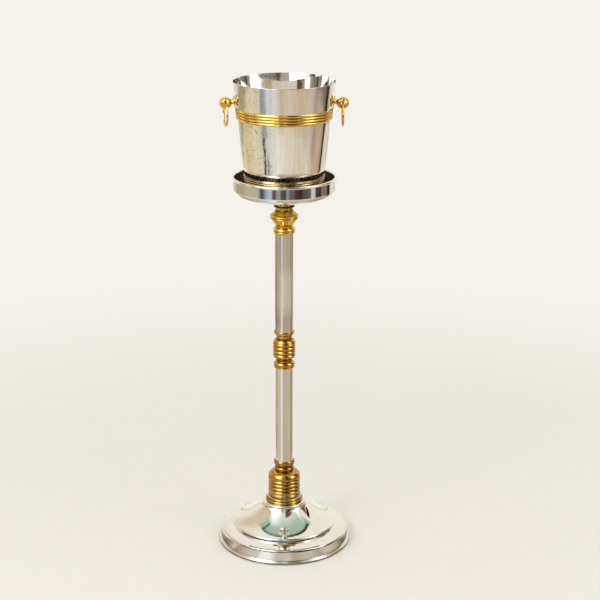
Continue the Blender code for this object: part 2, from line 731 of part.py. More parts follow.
# ================================================================ assembly
def build_base():
    build_felt_and_cover()
    build_weight()
    build_base_shell()
    build_base_fixing()


def build_column():
    build_base_flange()
    build_ribbed_drum()
    build_foot_bead()
    build_foot_collar()
    build_tube("lower_tube", FOOT_SOCKET_Z, MID_LOWER_SOCKET_Z)
    build_mid_lower_collar()
    build_mid_barrel()
    build_mid_upper_collar()
    build_tube("upper_tube", MID_UPPER_SOCKET_Z, CAPITAL_SOCKET_Z)
    build_capital_collar()
    build_capital_knop()
    build_neck_washer()
    build_tie_rod()


def build_dish():
    build_tray_support()
    build_tray_dish()
    build_tray_fixing()


def build_bucket():
    frames = {side: handle_frame(side, direction) for side, direction, _ in HANDLES}
    build_bucket_shell(frames)
    build_rib_band()
    build_foot_ring()
    for side, _, yaw in HANDLES:
        frame = frames[side]
        build_escutcheon(side, frame)
        build_knob(side, frame)
        build_handle_screw(side, frame)
        build_ring(side, frame, yaw)


build_base()
build_column()
build_dish()
build_bucket()
bpy.context.view_layer.update()
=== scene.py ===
"""An ice bucket on a column stand.

The stand rises along +Z from a felt pad on the floor: bell-shaped base, column, dish, bucket.
The camera is on the -Y side, so -Y is the front and +X the right.  Each piece is a finer mesh of
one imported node: it is fitted to that node's box and rides on that node's body.  Profiles are in
millimetres, (radius, height) or (radius, height, corner radius).
"""

import json
import math
from bisect import bisect_right

import bmesh
import bpy
from mathutils import Matrix, Vector, noise


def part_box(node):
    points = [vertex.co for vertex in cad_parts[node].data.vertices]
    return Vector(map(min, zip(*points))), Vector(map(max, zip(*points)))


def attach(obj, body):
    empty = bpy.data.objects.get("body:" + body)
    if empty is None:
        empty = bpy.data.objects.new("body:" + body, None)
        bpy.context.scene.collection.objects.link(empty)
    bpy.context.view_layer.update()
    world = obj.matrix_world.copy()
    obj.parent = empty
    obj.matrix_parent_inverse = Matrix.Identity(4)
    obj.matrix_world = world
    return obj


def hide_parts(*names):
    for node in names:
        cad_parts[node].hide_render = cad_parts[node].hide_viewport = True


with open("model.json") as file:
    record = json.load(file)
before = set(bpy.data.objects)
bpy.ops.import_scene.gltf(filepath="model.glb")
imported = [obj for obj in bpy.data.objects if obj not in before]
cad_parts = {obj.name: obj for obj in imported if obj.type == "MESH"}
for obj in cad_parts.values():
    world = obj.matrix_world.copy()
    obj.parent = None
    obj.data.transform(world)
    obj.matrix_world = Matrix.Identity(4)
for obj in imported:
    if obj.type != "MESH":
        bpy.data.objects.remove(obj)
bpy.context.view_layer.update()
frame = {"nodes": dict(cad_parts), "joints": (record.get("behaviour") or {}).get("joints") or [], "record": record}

MM = 0.001
NODES = frame["nodes"]
JOINTS = {joint["name"]: joint for joint in frame["joints"]}
BODY = {node: body for body, group in frame["record"]["behaviour"]["bodies"].items()
        for node in group}

# Steps round the bucket and base, the column, and the small fittings.
BIG, MEDIUM, SMALL = 192, 128, 64


# ================================================================ profiles
def fillet(points, closed=True, steps=5):
    """The line with its corners rounded wherever a point has a corner radius."""
    out, count = [], len(points)
    for i, point in enumerate(points):
        size = point[2] if len(point) > 2 else 0.0
        if size <= 0 or (not closed and i in (0, count - 1)):
            out.append((point[0], point[1]))
            continue
        before, corner, after = (Vector(points[k % count][:2]) for k in (i - 1, i, i + 1))
        back, ahead = before - corner, after - corner
        back_length, ahead_length = back.length, ahead.length
        back, ahead = back / back_length, ahead / ahead_length
        between = back.angle(ahead)
        if between > math.pi - 0.02:
            out.append((point[0], point[1]))
            continue
        lever = math.tan((math.pi - between) / 2)
        reach = min(size * lever, 0.48 * back_length, 0.48 * ahead_length)
        radius = reach / lever
        centre = corner + (back + ahead).normalized() * (radius / math.sin(between / 2))
        start, end = corner + back * reach - centre, corner + ahead * reach - centre
        first = math.atan2(start.y, start.x)
        sweep = (math.atan2(end.y, end.x) - first + math.pi) % (2 * math.pi) - math.pi
        for k in range(steps + 1):
            angle = first + sweep * k / steps
            out.append((centre.x + radius * math.cos(angle), centre.y + radius * math.sin(angle)))
    return out


def arc(centre, radius, start, end, steps):
    """Points on an arc between two angles in degrees."""
    out = []
    for i in range(steps + 1):
        angle = math.radians(start + (end - start) * i / steps)
        out.append((centre[0] + radius * math.cos(angle), centre[1] + radius * math.sin(angle)))
    return out


def flow(points, steps=6):
    """A smooth line through the points (Catmull-Rom)."""
    knots = [Vector(point) for point in points]
    knots = [knots[0] * 2 - knots[1]] + knots + [knots[-1] * 2 - knots[-2]]
    out = []
    for i in range(1, len(knots) - 2):
        before, start, end, after = knots[i - 1:i + 3]
        for k in range(steps):
            part = k / steps
            point = 0.5 * (2 * start + (end - before) * part
                           + (2 * before - 5 * start + 4 * end - after) * part ** 2
                           + (3 * start - before - 3 * end + after) * part ** 3)
            out.append((point.x, point.y))
    out.append(tuple(points[-1]))
    return out


def inset(line, distance):
    """The line moved sideways, to its right as it runs, with mitred corners."""
    out, last = [], len(line) - 1
    for i in range(len(line)):
        normals = []
        for start, end in ((i - 1, i), (i, i + 1)):
            if start < 0 or end > last:
                continue
            run, rise = line[end][0] - line[start][0], line[end][1] - line[start][1]
            size = math.hypot(run, rise)
            normals.append((rise / size, -run / size))
        side = sum(normal[0] for normal in normals) / len(normals)
        up = sum(normal[1] for normal in normals) / len(normals)
        square = side * side + up * up
        out.append((line[i][0] + distance * side / square, line[i][1] + distance * up / square))
    return out


def ribs(low, high, count, crest, valley, steps=10, power=1.0):
    """Rounded ribs from the height high down to low.  crest and valley give radii at a height."""
    out = []
    pitch = (high - low) / count
    for i in range(count):
        for k in range(steps + (i == count - 1)):
            across = 2 * k / steps - 1
            z = high - pitch * (i + (across + 1) / 2)
            swell = max(0.0, math.cos(math.pi / 2 * across)) ** power
            out.append((valley(z) + (crest(z) - valley(z)) * swell, z))
    return out


def pairs(items, closed):
    """Each item with the one after it; when closed, the last with the first too."""
    return zip(items, items[1:] + (items[:1] if closed else []))


def spread(points, closed, longest):
    """Extra points: a support close to each end of a long run, and more along it."""
    support = 0.3
    out = []
    for first, last in pairs(points, closed):
        first, last = Vector(first), Vector(last)
        size = (last - first).length
        out.append(tuple(first))
        if size > 1.3:
            start, end = support / size, 1 - support / size
            count = max(1, math.ceil((size - 2 * support) / longest))
            for k in range(count + 1):
                out.append(tuple(first.lerp(last, start + (end - start) * k / count)))
    if not closed:
        out.append(tuple(points[-1]))
    return out


def extent(node):
    """Half the node's width along X, its foot and its top, in millimetres."""
    low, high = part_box(node)
    return (high.x - low.x) / 2 / MM, low.z / MM, high.z / MM


def fitted(node, profile):
    """The profile stretched onto its node's height and radius; both are within a hair already."""
    half, bottom, top = extent(node)
    wide = half / max(point[0] for point in profile)
    foot = min(point[1] for point in profile)
    rise = (top - bottom) / (max(point[1] for point in profile) - foot)
    return [(point[0] * wide, bottom + (point[1] - foot) * rise) + tuple(point[2:])
            for point in profile]


def hollows(points, closed, reach=1.5):
    """How deep each point sits under the line between places reach away on either side:
    1 in a groove, -1 on an edge."""
    length = [0.0]
    for first, last in pairs(points, closed):
        length.append(length[-1] + math.dist(first, last))
    total, count = length[-1], len(points)

    def point_at(along):
        along = along % total if closed else min(max(along, 0.0), total)
        i = min(bisect_right(length, along) - 1, len(length) - 2)
        part = (along - length[i]) / max(length[i + 1] - length[i], 1e-9)
        return Vector(points[i % count]).lerp(Vector(points[(i + 1) % count]), part)

    out = []
    for i in range(count):
        before, after = point_at(length[i] - reach), point_at(length[i] + reach)
        run = after - before
        if run.length < 1e-6:
            out.append(0.0)
            continue
        outward = Vector((-run.y, run.x)).normalized()
        depth = ((before + after) / 2 - Vector(points[i])).dot(outward)
        out.append(max(-1.0, min(1.0, depth / 0.5)))
    return out


# ================================================================ meshes
def polar(angle, radius, z):
    return radius * math.cos(angle), radius * math.sin(angle), z


def angles(segments):
    return [2 * math.pi * k / segments for k in range(segments)]


def circle(radius, z, segments):
    return [polar(angle, radius, z) for angle in angles(segments)]


def skin(rings, closed=True, unit=MM):
    """Vertices and faces of a surface through rings of points.  A ring may be a single point."""
    verts, spans, faces = [], [], []
    for ring in rings:
        spans.append(range(len(verts), len(verts) + len(ring)))
        verts += [tuple(value * unit for value in point) for point in ring]
    for first, second in pairs(spans, closed):
        count = max(len(first), len(second))
        for k in range(count):
            m = (k + 1) % count
            corners = (first[k % len(first)], second[k % len(second)],
                       second[m % len(second)], first[m % len(first)])
            faces.append(tuple(dict.fromkeys(corners)))
    return verts, faces


def finish_mesh(name, verts, faces, kinds=None, depth=None, place=None, sharp=None):
    mesh = bpy.data.meshes.new(name)
    mesh.from_pydata(verts, [], faces)
    if kinds:
        mesh.polygons.foreach_set("material_index", kinds)
    if depth:
        layer = mesh.attributes.new("cavity", "FLOAT", "POINT")
        layer.data.foreach_set("value", depth)
    if place:
        mesh.transform(place)
    work = bmesh.new()
    work.from_mesh(mesh)
    bmesh.ops.recalc_face_normals(work, faces=work.faces)
    work.to_mesh(mesh)
    work.free()
    mesh.shade_smooth()
    if sharp:
        mesh.set_sharp_from_angle(angle=math.radians(sharp))
    return link(name, mesh)


def link(name, mesh):
    obj = bpy.data.objects.new(name, mesh)
    bpy.context.scene.collection.objects.link(obj)
    return obj


def lathe(name, profile, segments, closed=True, longest=6.0, place=None,
          warp=lambda angle, radius, z: (radius, z), split=lambda radius, z: False):
    """A turned mesh.  warp moves a ring's point; split is true where the second material goes."""
    line = spread(profile, closed, longest)
    rings, depth, kinds = [], [], []
    for (radius, z), hollow in zip(line, hollows(line, closed)):
        if radius < 1e-6:
            ring = [(0.0, 0.0, z)]
        else:
            ring = [polar(angle, *warp(angle, radius, z)) for angle in angles(segments)]
        rings.append(ring)
        depth += [hollow] * len(ring)
    for first, last in pairs(line, closed):
        kind = int(split((first[0] + last[0]) / 2, (first[1] + last[1]) / 2))
        kinds += [kind] * segments
    return finish_mesh(name, *skin(rings, closed), kinds, depth, place)


def piece(obj, node, slot, *materials):
    """obj stands for a node: it hides it, rides on its body and takes the materials; slot is not used."""
    # Clearing the materials resets the faces' indices, so they are kept and put back.
    kinds = [0] * len(obj.data.polygons)
    obj.data.polygons.foreach_get("material_index", kinds)
    obj.data.materials.clear()
    for look in materials:
        obj.data.materials.append(look)
    kinds = [min(kind, len(materials) - 1) for kind in kinds]
    obj.data.polygons.foreach_set("material_index", kinds)
    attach(obj, BODY[node])
    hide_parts(node)


def turned(node, profile, segments, slot, *materials, **more):
    piece(lathe(node + "_fine", profile, segments, **more), node, slot, *materials)


def carve(obj, cutter):
    """obj less cutter, as mesh; the cutter goes."""
    modifier = obj.modifiers.new("cut", "BOOLEAN")
    modifier.operation = "DIFFERENCE"
    modifier.solver = "EXACT"
    modifier.object = cutter
    bpy.context.view_layer.update()
    evaluated = obj.evaluated_get(bpy.context.evaluated_depsgraph_get())
    mesh = bpy.data.meshes.new_from_object(evaluated)
    obj.modifiers.clear()
    obj.data = mesh
    bpy.data.objects.remove(cutter, do_unlink=True)
    mesh.shade_smooth()
    mesh.set_sharp_from_angle(angle=math.radians(34))


# ================================================================ node formulas
class Wire:
    """A node's output, for use in formulas: each operator makes a Math node."""

    def __init__(self, socket):
        self.socket = socket

    def __add__(self, other):
        return calc("ADD", self, other)

    def __radd__(self, other):
        return calc("ADD", other, self)

    def __sub__(self, other):
        return calc("SUBTRACT", self, other)

    def __rsub__(self, other):
        return calc("SUBTRACT", other, self)

    def __mul__(self, other):
        return calc("MULTIPLY", self, other)

    def __truediv__(self, other):
        return calc("DIVIDE", self, other)


def start_tree(owner):
    """Empty the owner's node tree; the functions below add their nodes to it."""
    global TREE
    owner.use_nodes = True
    TREE = owner.node_tree
    TREE.nodes.clear()


def add_node(kind, inputs=None, **props):
    """A node with its properties and inputs set.  An input is a Wire or a value."""
    count = len(TREE.nodes)
    made = TREE.nodes.new(kind)
    made.location = (count * 180, -(count % 5) * 160)
    for key, value in props.items():
        setattr(made, key, value)
    for key, value in (inputs or {}).items():
        socket = made.inputs[key]
        if isinstance(value, Wire):
            TREE.links.new(value.socket, socket)
        elif isinstance(value, tuple):
            # A colour given without its alpha gets 1.
            socket.default_value = value + (1.0,) * (len(socket.default_value) - len(value))
        else:
            socket.default_value = value
    return made


def wire(kind, inputs=None, output=0, **props):
    return Wire(add_node(kind, inputs, **props).outputs[output])


def calc(operation, first, second=0.0, clamp=False):
    return wire("ShaderNodeMath", {0: first, 1: second}, operation=operation, use_clamp=clamp)


def highest(first, second):
    return calc("MAXIMUM", first, second)


def absolute(value):
    return calc("ABSOLUTE", value)


def coords(kind="Object"):
    return wire("ShaderNodeTexCoord", output=kind)


def axes(vector):
    return [Wire(socket) for socket in add_node("ShaderNodeSeparateXYZ", {0: vector}).outputs]


def stretch(vector, x, y, z):
    return wire("ShaderNodeVectorMath", {0: vector, 1: (x, y, z)}, operation="MULTIPLY")


def distance(vector):
    return wire("ShaderNodeVectorMath", {0: vector}, "Value", operation="LENGTH")


def bearing_of(x, y):
    """The angle from the front (-Y), positive to the right, in radians."""
    return calc("ARCTAN2", x, y * -1.0)


def turn_of(x, y):
    """The bearing as 0 to 1, with the front at 0.5."""
    return bearing_of(x, y) / (2 * math.pi) + 0.5


def fractal(vector, scale, detail=3, rough=0.5, bend=0):
    return wire("ShaderNodeTexNoise", {"Vector": vector, "Scale": scale, "Detail": detail,
                                       "Roughness": rough, "Distortion": bend}, "Fac")


def ease(value, low, high, to_low=0, to_high=1):
    """A smooth step from to_low, where value is low, to to_high, where it is high."""
    return wire("ShaderNodeMapRange", {
        "Value": value, "From Min": low, "From Max": high, "To Min": to_low, "To Max": to_high},
        interpolation_type="SMOOTHSTEP")


def mix(fac, first, second, blend="MIX"):
    return wire("ShaderNodeMix", {0: fac, 6: first, 7: second}, 2,
                data_type="RGBA", blend_type=blend)


def ramp(fac, stops):
    """A colour ramp; a stop is (position, red, green, blue)."""
    made = add_node("ShaderNodeValToRGB", {0: fac})
    elements = made.color_ramp.elements
    while len(elements) > 1:
        elements.remove(elements[-1])
    elements[0].position = stops[0][0]
    elements[0].color = (*stops[0][1:], 1.0)
    for position, *colour in stops[1:]:
        elements.new(position).color = (*colour, 1.0)
    return Wire(made.outputs[0])


def bump(height, distance, strength=1.0, **normal):
    inputs = {"Strength": strength, "Distance": distance, "Height": height}
    if normal:
        inputs["Normal"] = normal["normal"]
    return wire("ShaderNodeBump", inputs)


def output(shader, kind="ShaderNodeOutputMaterial"):
    add_node(kind, {0: shader})


def material(name, build, **settings):
    """build gives the Principled BSDF's inputs by name."""
    made = bpy.data.materials.new(name)
    start_tree(made)
    output(wire("ShaderNodeBsdfPrincipled", build(**settings)))
    return made


# ================================================================ materials
# Bounds given to ease in z, x and y are metres in the object's frame; bearings are radians.
# Noise scales are per metre.
def tinted(colour, *factors):
    return tuple(value * factor for value, factor in zip(colour, factors))


# Painted reflection on the upper tube, its light and shade by bearing: position round it (0.5 is the front, less
# is left), colour factor.
TUBE_PAINTED_REFLECTION = [
    (0.0, 0.62, 0.61, 0.58), (0.25, 0.5, 0.48, 0.44), (0.36, 0.5, 0.48, 0.44),
    (0.42, 0.66, 0.65, 0.63), (0.45, 0.84, 0.83, 0.77), (0.475, 0.8, 0.78, 0.73),
    (0.5, 0.72, 0.71, 0.69), (0.61, 0.74, 0.74, 0.75), (0.75, 0.82, 0.82, 0.8),
    (1.0, 0.62, 0.61, 0.58)]


def chrome(tone, rough, smear=0.5, hazed=False):
    here = coords()
    smudge = ease(fractal(here, scale=26, detail=4, rough=0.55, bend=0.4), 0.46, 0.72)
    specks = ease(fractal(here, scale=700, detail=2), 0.66, 0.74)
    dull = smudge * smear
    colour = mix(dull, tone, tinted(tone, 0.93, 0.915, 0.88))
    colour = mix(specks * 0.25, colour, (0.34, 0.32, 0.28))
    if hazed:
        # Painted reflection: the upper tube is darkened by bearing, most on its left flank, least just left of the
        # front.
        x, y, z = axes(here)
        haze = ramp(turn_of(x, y), TUBE_PAINTED_REFLECTION)
        colour = mix(ease(z, 0.40, 0.47), colour, mix(1.0, colour, haze, "MULTIPLY"))
    return {"Base Color": colour, "Metallic": 1.0,
            "Roughness": rough + dull * 0.05 + specks * 0.12,
            "Normal": bump(fractal(here, scale=22, detail=1), distance=0.00002)}


# Corrosion streaks on the bucket: bearing, half width, bottom, top, strength.
STREAKS = [
    (-0.455, 0.050, 0.754, 0.848, 1.0),
    (-0.375, 0.045, 0.754, 0.806, 0.65),
    (-0.47, 0.035, 0.868, 0.912, 0.30)]


def satin_steel():
    """The bucket's outer face: fine vertical polish lines, water marks, tarnish outlines and
    corrosion streaks left of the middle."""
    here = coords()
    x, y, z = axes(here)
    bearing = bearing_of(x, y)
    lines = fractal(stretch(here, 1, 1, 0.035), scale=900, rough=0.6)
    drift = fractal(stretch(here, 1, 1, 0.25), scale=34, detail=4, rough=0.6, bend=0.3)
    marks = ease(fractal(here, scale=160, detail=5, rough=0.65, bend=0.6), 0.56, 0.70)
    runs = ease(fractal(stretch(here, 1, 1, 0.10), scale=150, rough=0.6), 0.60, 0.74)
    stain = highest(marks, runs) * ease(z, 0.76, 0.86, 1.0, 0.35)
    colour = mix(ease(drift, 0.35, 0.68), (0.755, 0.745, 0.72), (0.715, 0.695, 0.65))
    colour = mix(stain * 0.34, colour, (0.50, 0.465, 0.40))

    sway = fractal(stretch(here, 0, 0, 1), scale=42, rough=0.6) - 0.5
    ragged = fractal(stretch(here, 1, 1, 0.45), scale=300, detail=5, rough=0.7)
    rust = 0.0
    for middle, wide, bottom, top, strength in STREAKS:
        off = absolute(bearing + sway * 0.09 - middle)
        core = ease(off, wide, wide * 0.3) * ease(ragged, 0.36, 0.54)
        core = core * (ease(z, bottom, bottom + 0.004) * ease(z, top, top - 0.03))
        rust = highest(rust, core * strength)
    colour = mix(rust, colour, (0.10, 0.11, 0.09))

    # Tarnish outlines are contours of a slow noise, on the left side only.
    field = fractal(stretch(here, 1, 1, 0.7), scale=42, detail=2, bend=0.4)
    band = absolute(calc("FRACT", field * 6.0) - 0.5)
    outline = (ease(band, 0.085, 0.02) * ease(bearing, -0.20, -0.30)
               * ease(bearing, -1.45, -1.30)
               * ease(fractal(here, scale=60, detail=2), 0.38, 0.56))
    colour = mix(outline * 0.75, colour, (0.27, 0.25, 0.19))
    return {"Base Color": colour, "Metallic": 1.0,
            "Roughness": 0.055 + ease(drift, 0.4, 0.7) * 0.05 + stain * 0.10 + rust * 0.25,
            "Normal": bump(fractal(here, scale=26, detail=2), distance=0.00007,
                           normal=bump(lines, distance=0.0000025))}


def bright_steel():
    """The bucket's inside: polished, with faint scratches round it and a tarnished patch under
    the rim at the back left."""
    here = coords()
    x, y, z = axes(here)
    smudge = ease(fractal(here, scale=44, detail=4, rough=0.6, bend=0.5), 0.48, 0.72)
    scratch = ease(fractal(stretch(here, 0.15, 0.15, 1), scale=600, rough=0.6), 0.60, 0.74)
    colour = mix(smudge * 0.4, (0.78, 0.77, 0.74), (0.68, 0.66, 0.61))
    mottle = fractal(stretch(here, 1, 1, 0.6), scale=210, detail=6, rough=0.72, bend=0.5)
    patch = (mottle + ease(z, 0.888, 0.910) * 0.30
             + ease(fractal(here, scale=30, detail=2), 0.30, 0.70, -0.16, 0.12))
    patch = (ease(patch, 0.66, 0.84) * ease(z, 0.884, 0.896)
             * (ease(y, 0.01, 0.05) * ease(x, 0.0, -0.016))
             * ease(x, -0.074, -0.052))
    colour = mix(patch * 0.85, colour, (0.10, 0.09, 0.08))
    return {"Base Color": colour, "Metallic": 1.0,
            "Roughness": 0.035 + smudge * 0.05 + scratch * 0.08 + patch * 0.25,
            "Normal": bump(fractal(here, scale=24, detail=1), distance=0.00005)}


def shaded_dish_inside():
    """The dish's inside: dark brown as painted shade, clouded and specked with stains, with painted reflections at
    two bearings near the front.
    """
    here = coords()
    cloud = fractal(here, scale=48, detail=5, rough=0.6, bend=0.5)
    specks = ease(fractal(here, scale=420, detail=4, rough=0.6), 0.56, 0.70)
    # Painted shade: the dark brown that fills the dish, clouded with stain.
    colour = mix(ease(cloud, 0.35, 0.70), (0.155, 0.125, 0.092), (0.30, 0.25, 0.19))
    colour = mix(specks * 0.4, colour, (0.08, 0.06, 0.04))
    x, y, _ = axes(here)
    bearing = bearing_of(x, y)
    # Painted reflections: near-white patches at two bearings near the front.
    painted_glints = highest(ease(bearing, -0.62, -0.50) * ease(bearing, -0.20, -0.28),
                    ease(absolute(bearing - 0.40), 0.12, 0.04))
    colour = mix(painted_glints * 0.8, colour, (0.80, 0.77, 0.73))
    return {"Base Color": colour, "Metallic": 0.75, "Roughness": 0.36 + specks * 0.2,
            "Normal": bump(fractal(here, scale=90), distance=0.00005)}


def brass(polish, patina, rough, spread_of_patina, film, grime=(0.12, 0.75), chalk=False):
    """The groove range is the range of cavity over which the patina sets in, and where it is widened, painted
    shade; the rim shade depth is how far painted shade darkens the surface where it turns away.
    """
    here = coords()
    cavity = wire("ShaderNodeAttribute", output="Fac", attribute_name="cavity")
    cloud = fractal(here, scale=60, detail=5, rough=0.6, bend=0.4)
    grain = fractal(here, scale=420, rough=0.6)
    groove = ease(cavity + (grain - 0.5) * 0.5, *grime)
    blotch = ease(cloud, 0.50, 0.72) * spread_of_patina
    dark = calc("MAXIMUM", groove, blotch, clamp=True)
    colour = mix(ease(cloud, 0.3, 0.7), polish, tinted(polish, 0.95, 0.88, 0.72))
    bright = tuple(min(1.0, value * 1.15) for value in polish)
    colour = mix(ease(cavity, -0.25, -0.9) * 0.35, colour, bright)
    colour = mix(dark * 0.85, colour, patina)
    # Painted shade: darker where the surface turns away.
    facing = wire("ShaderNodeLayerWeight", {"Blend": 0.5}, "Facing")
    colour = mix(ease(facing, 0.45, 0.92, 0.0, film), colour, tinted(polish, 0.30, 0.24, 0.16))
    roughness = rough + dark * 0.22 + ease(grain, 0.45, 0.75) * 0.05
    metallic = 1.0
    if chalk:
        # Dried polish left in the lowest grooves.
        height = axes(here)[2]
        residue = ease(height, 0.1022, 0.1034, 1.0, 0.0) * ease(cavity, 0.0, 0.30)
        seam = ease(absolute(height - 0.0938), 0.0010, 0.0005)
        residue = highest(residue * ease(height, 0.0955, 0.0965), seam) * ease(grain, 0.30, 0.46)
        colour = mix(residue, colour, (0.60, 0.60, 0.56))
        metallic = 1.0 - residue * 0.35
    return {"Base Color": colour, "Metallic": metallic, "Roughness": roughness,
            "Normal": bump(fractal(here, scale=240, detail=2), distance=0.000008)}


def rubber():
    here = coords()
    grain = fractal(here, scale=1400, rough=0.6)
    dust = ease(fractal(here, scale=90, detail=4, rough=0.6), 0.5, 0.75)
    return {"Base Color": mix(dust * 0.5, (0.010, 0.009, 0.009), (0.035, 0.032, 0.03)),
            "Roughness": 0.34 + dust * 0.25, "Specular IOR Level": 0.4,
            "Normal": bump(grain, distance=0.00004, strength=0.6)}


def felt():
    here = coords()
    fibre = fractal(here, scale=2200, detail=4, rough=0.7, bend=1.2)
    tuft = fractal(here, scale=500, detail=4, rough=0.65)
    worn = ease(fractal(here, scale=30), 0.5, 0.75)
    colour = mix(fibre, (0.012, 0.035, 0.022), (0.045, 0.105, 0.065))
    colour = mix(worn * 0.4, colour, (0.07, 0.085, 0.06))
    return {"Base Color": colour, "Roughness": 1.0, "Sheen Weight": 0.5, "Sheen Roughness": 0.5,
            "Specular IOR Level": 0.1,
            "Normal": bump(fibre + tuft, distance=0.0005, strength=0.8)}


def zinc():
    """Plated fasteners: a cool grey with crystal patches and a little white bloom."""
    here = coords()
    patch = wire("ShaderNodeTexVoronoi", {"Vector": here, "Scale": 260.0}, "Distance")
    bloom = ease(fractal(here, scale=220, detail=5, rough=0.65), 0.54, 0.72)
    colour = mix(ease(patch, 0.0, 0.6), (0.56, 0.57, 0.59), (0.66, 0.66, 0.65))
    colour = mix(bloom * 0.5, colour, (0.46, 0.45, 0.42))
    return {"Base Color": colour, "Metallic": 1.0, "Roughness": 0.26 + bloom * 0.25,
            "Normal": bump(fractal(here, scale=1200), distance=0.00002)}


def iron():
    """Sand-cast iron with a thin coat of black paint and rust in the pits."""
    here = coords()
    sand = fractal(here, scale=900, detail=5, rough=0.7)
    rust = ease(fractal(here, scale=70, detail=6, rough=0.7, bend=0.5), 0.55, 0.70)
    colour = mix(sand, (0.022, 0.022, 0.024), (0.06, 0.058, 0.056))
    colour = mix(rust * 0.7, colour, (0.16, 0.055, 0.02))
    return {"Base Color": colour, "Metallic": 0.35, "Roughness": 0.6 + rust * 0.3,
            "Normal": bump(sand, distance=0.0003)}


# On the column the groove darkening reaches over the ribs' flanks: patina in the grooves, painted shade over about
# half of each rib.
COLUMN_BRASS = dict(spread_of_patina=0.60, film=0.85, grime=(-0.15, 0.45))
CHROME = material("chrome_plate", chrome, tone=(0.80, 0.80, 0.79), rough=0.030)
TUBE_CHROME = material("chrome_tube", chrome, tone=(0.80, 0.79, 0.77), rough=0.055, smear=0.8,
                       hazed=True)
BASE_CHROME = material("chrome_base", chrome, tone=(0.80, 0.80, 0.78), rough=0.028, smear=0.6)
STEEL = material("satin_steel", satin_steel)
MIRROR = material("bright_steel", bright_steel)
BRASS = material("polished_brass", brass, polish=(0.90, 0.60, 0.16), patina=(0.11, 0.055, 0.012),
                 rough=0.075, spread_of_patina=0.40, film=0.65)
TURNED = material("turned_brass", brass, polish=(0.90, 0.55, 0.115),
                  patina=(0.085, 0.038, 0.007), rough=0.045, **COLUMN_BRASS)
# Darker copies of the turned brass for the middle and the foot of the column: painted shade.
SHADED_MIDDLE_BRASS = material("middle_brass", brass, polish=(0.655, 0.38, 0.098),
                  patina=(0.06, 0.027, 0.005), rough=0.045, **COLUMN_BRASS)
SHADED_LOWEST_BRASS = material("lowest_brass", brass, polish=(0.42, 0.24, 0.054),
                  patina=(0.045, 0.020, 0.005), rough=0.050, **COLUMN_BRASS)
# On the drum the groove darkening likewise reaches over the ribs' flanks: patina in the grooves, painted shade
# over about half of each rib.
AGED = material("aged_brass", brass, polish=(0.57, 0.345, 0.095), patina=(0.075, 0.038, 0.011),
                rough=0.10, spread_of_patina=0.62, film=0.80, grime=(-0.25, 0.45), chalk=True)
DISH_SHADE = material("stained_chrome", shaded_dish_inside)
RUBBER = material("black_rubber", rubber)
FELT = material("felt", felt)
ZINC = material("zinc_plate", zinc)
IRON = material("cast_iron", iron)


# ================================================================ base
def washer(node, segments, edge, slot, look):
    """A flat ring: outer size from its node's box, bore from the vertex nearest the axis."""
    wide, foot, top = extent(node)
    bore = min(math.hypot(vert.co.x, vert.co.y) for vert in NODES[node].data.vertices) / MM
    line = fillet([(wide, top, edge), (wide, foot, edge),
                   (bore, foot, edge * 0.6), (bore, top, edge * 0.6)])
    turned(node, line, segments, slot, look)


def nut(node):
    """A hexagon nut: chamfered crowns, a bore and a thread lead-in."""
    wide, foot, top = extent(node)
    low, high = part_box(node)
    deep = (high.y - low.y) / 2 / MM
    flat = min(wide, deep)                      # half across the flats
    turn = 0.0 if wide >= deep else math.pi / 6
    middle, bore, lead = (top + foot) / 2, 5.0, 0.7

    # Kind, size, height.  A bore's size is its radius; the others' are parts of the full size.
    rings = [("bore", bore, foot + lead), ("bore", bore, top - lead), ("bore", bore + lead, top),
             ("face", 0.70, top), ("face", 0.97, top), ("hex", 0.985, top), ("hex", 1.0, top),
             ("side", 1.0, middle + 1.0), ("side", 1.0, middle - 1.0),
             ("hex", 1.0, foot), ("hex", 0.985, foot), ("face", 0.97, foot),
             ("face", 0.70, foot), ("bore", bore + lead, foot)]

    def point(angle, kind, size, z):
        if kind == "bore":
            return polar(angle, size, z)
        if kind == "face":
            return polar(angle, flat * size, z)
        radius = flat / math.cos((angle - turn) % (math.pi / 3) - math.pi / 6) * size
        if kind == "hex":
            drop = max(0.0, radius - flat * 0.97) * math.tan(math.radians(30))
            z += -drop if z > middle else drop
        return polar(angle, radius, z)

    verts, faces = skin([[point(angle, *ring) for angle in angles(96)] for ring in rings])
    piece(finish_mesh(node + "_fine", verts, faces, sharp=22), node, "zinc_steel", ZINC)


def threaded_rod(node):
    """A long stud with a rolled thread at both ends."""
    radius, foot, top = extent(node)
    pitch, depth, segments, per = 1.5, 0.55, 32, 6          # per: rings to a turn of thread
    heights = [foot + 0.8 + i * pitch / per for i in range(int(26 / pitch * per))]
    heights += [foot + 32 + i * 40.0 for i in range(int((top - foot - 70) / 40))]
    heights += [top - 30 + i * pitch / per for i in range(int(29 / pitch * per))]

    def thread(z, part):
        """The radius at a height, at a part of a full turn."""
        end = min(z - foot, top - z)
        amount = 1.0 if end < 24 else max(0.0, 1 - (end - 24) / 2)
        wave = abs(((z / pitch - part) % 1.0) * 2 - 1)
        return radius - depth * wave * amount - 0.5 * max(0.0, 1 - end)

    rings = [[(0.0, 0.0, foot)], circle(radius - 0.9, foot, segments)]
    rings += [[polar(2 * math.pi * (k / segments), thread(z, k / segments), z)
               for k in range(segments)] for z in heights]
    rings += [circle(radius - 0.9, top, segments), [(0.0, 0.0, top)]]
    verts, faces = skin(rings, closed=False)
    piece(finish_mesh(node + "_fine", verts, faces, sharp=50), node, "zinc_steel", ZINC)


def felt_edge(angle, radius, z):
    """Cut felt isn't a true circle: both edges wander into it by a few tenths of a millimetre."""
    wander = noise.noise(Vector((math.cos(angle) * 9.0, math.sin(angle) * 9.0, z * 2.0)))
    return radius - 0.25 * abs(wander) * (1 if radius > 60 else -1), z


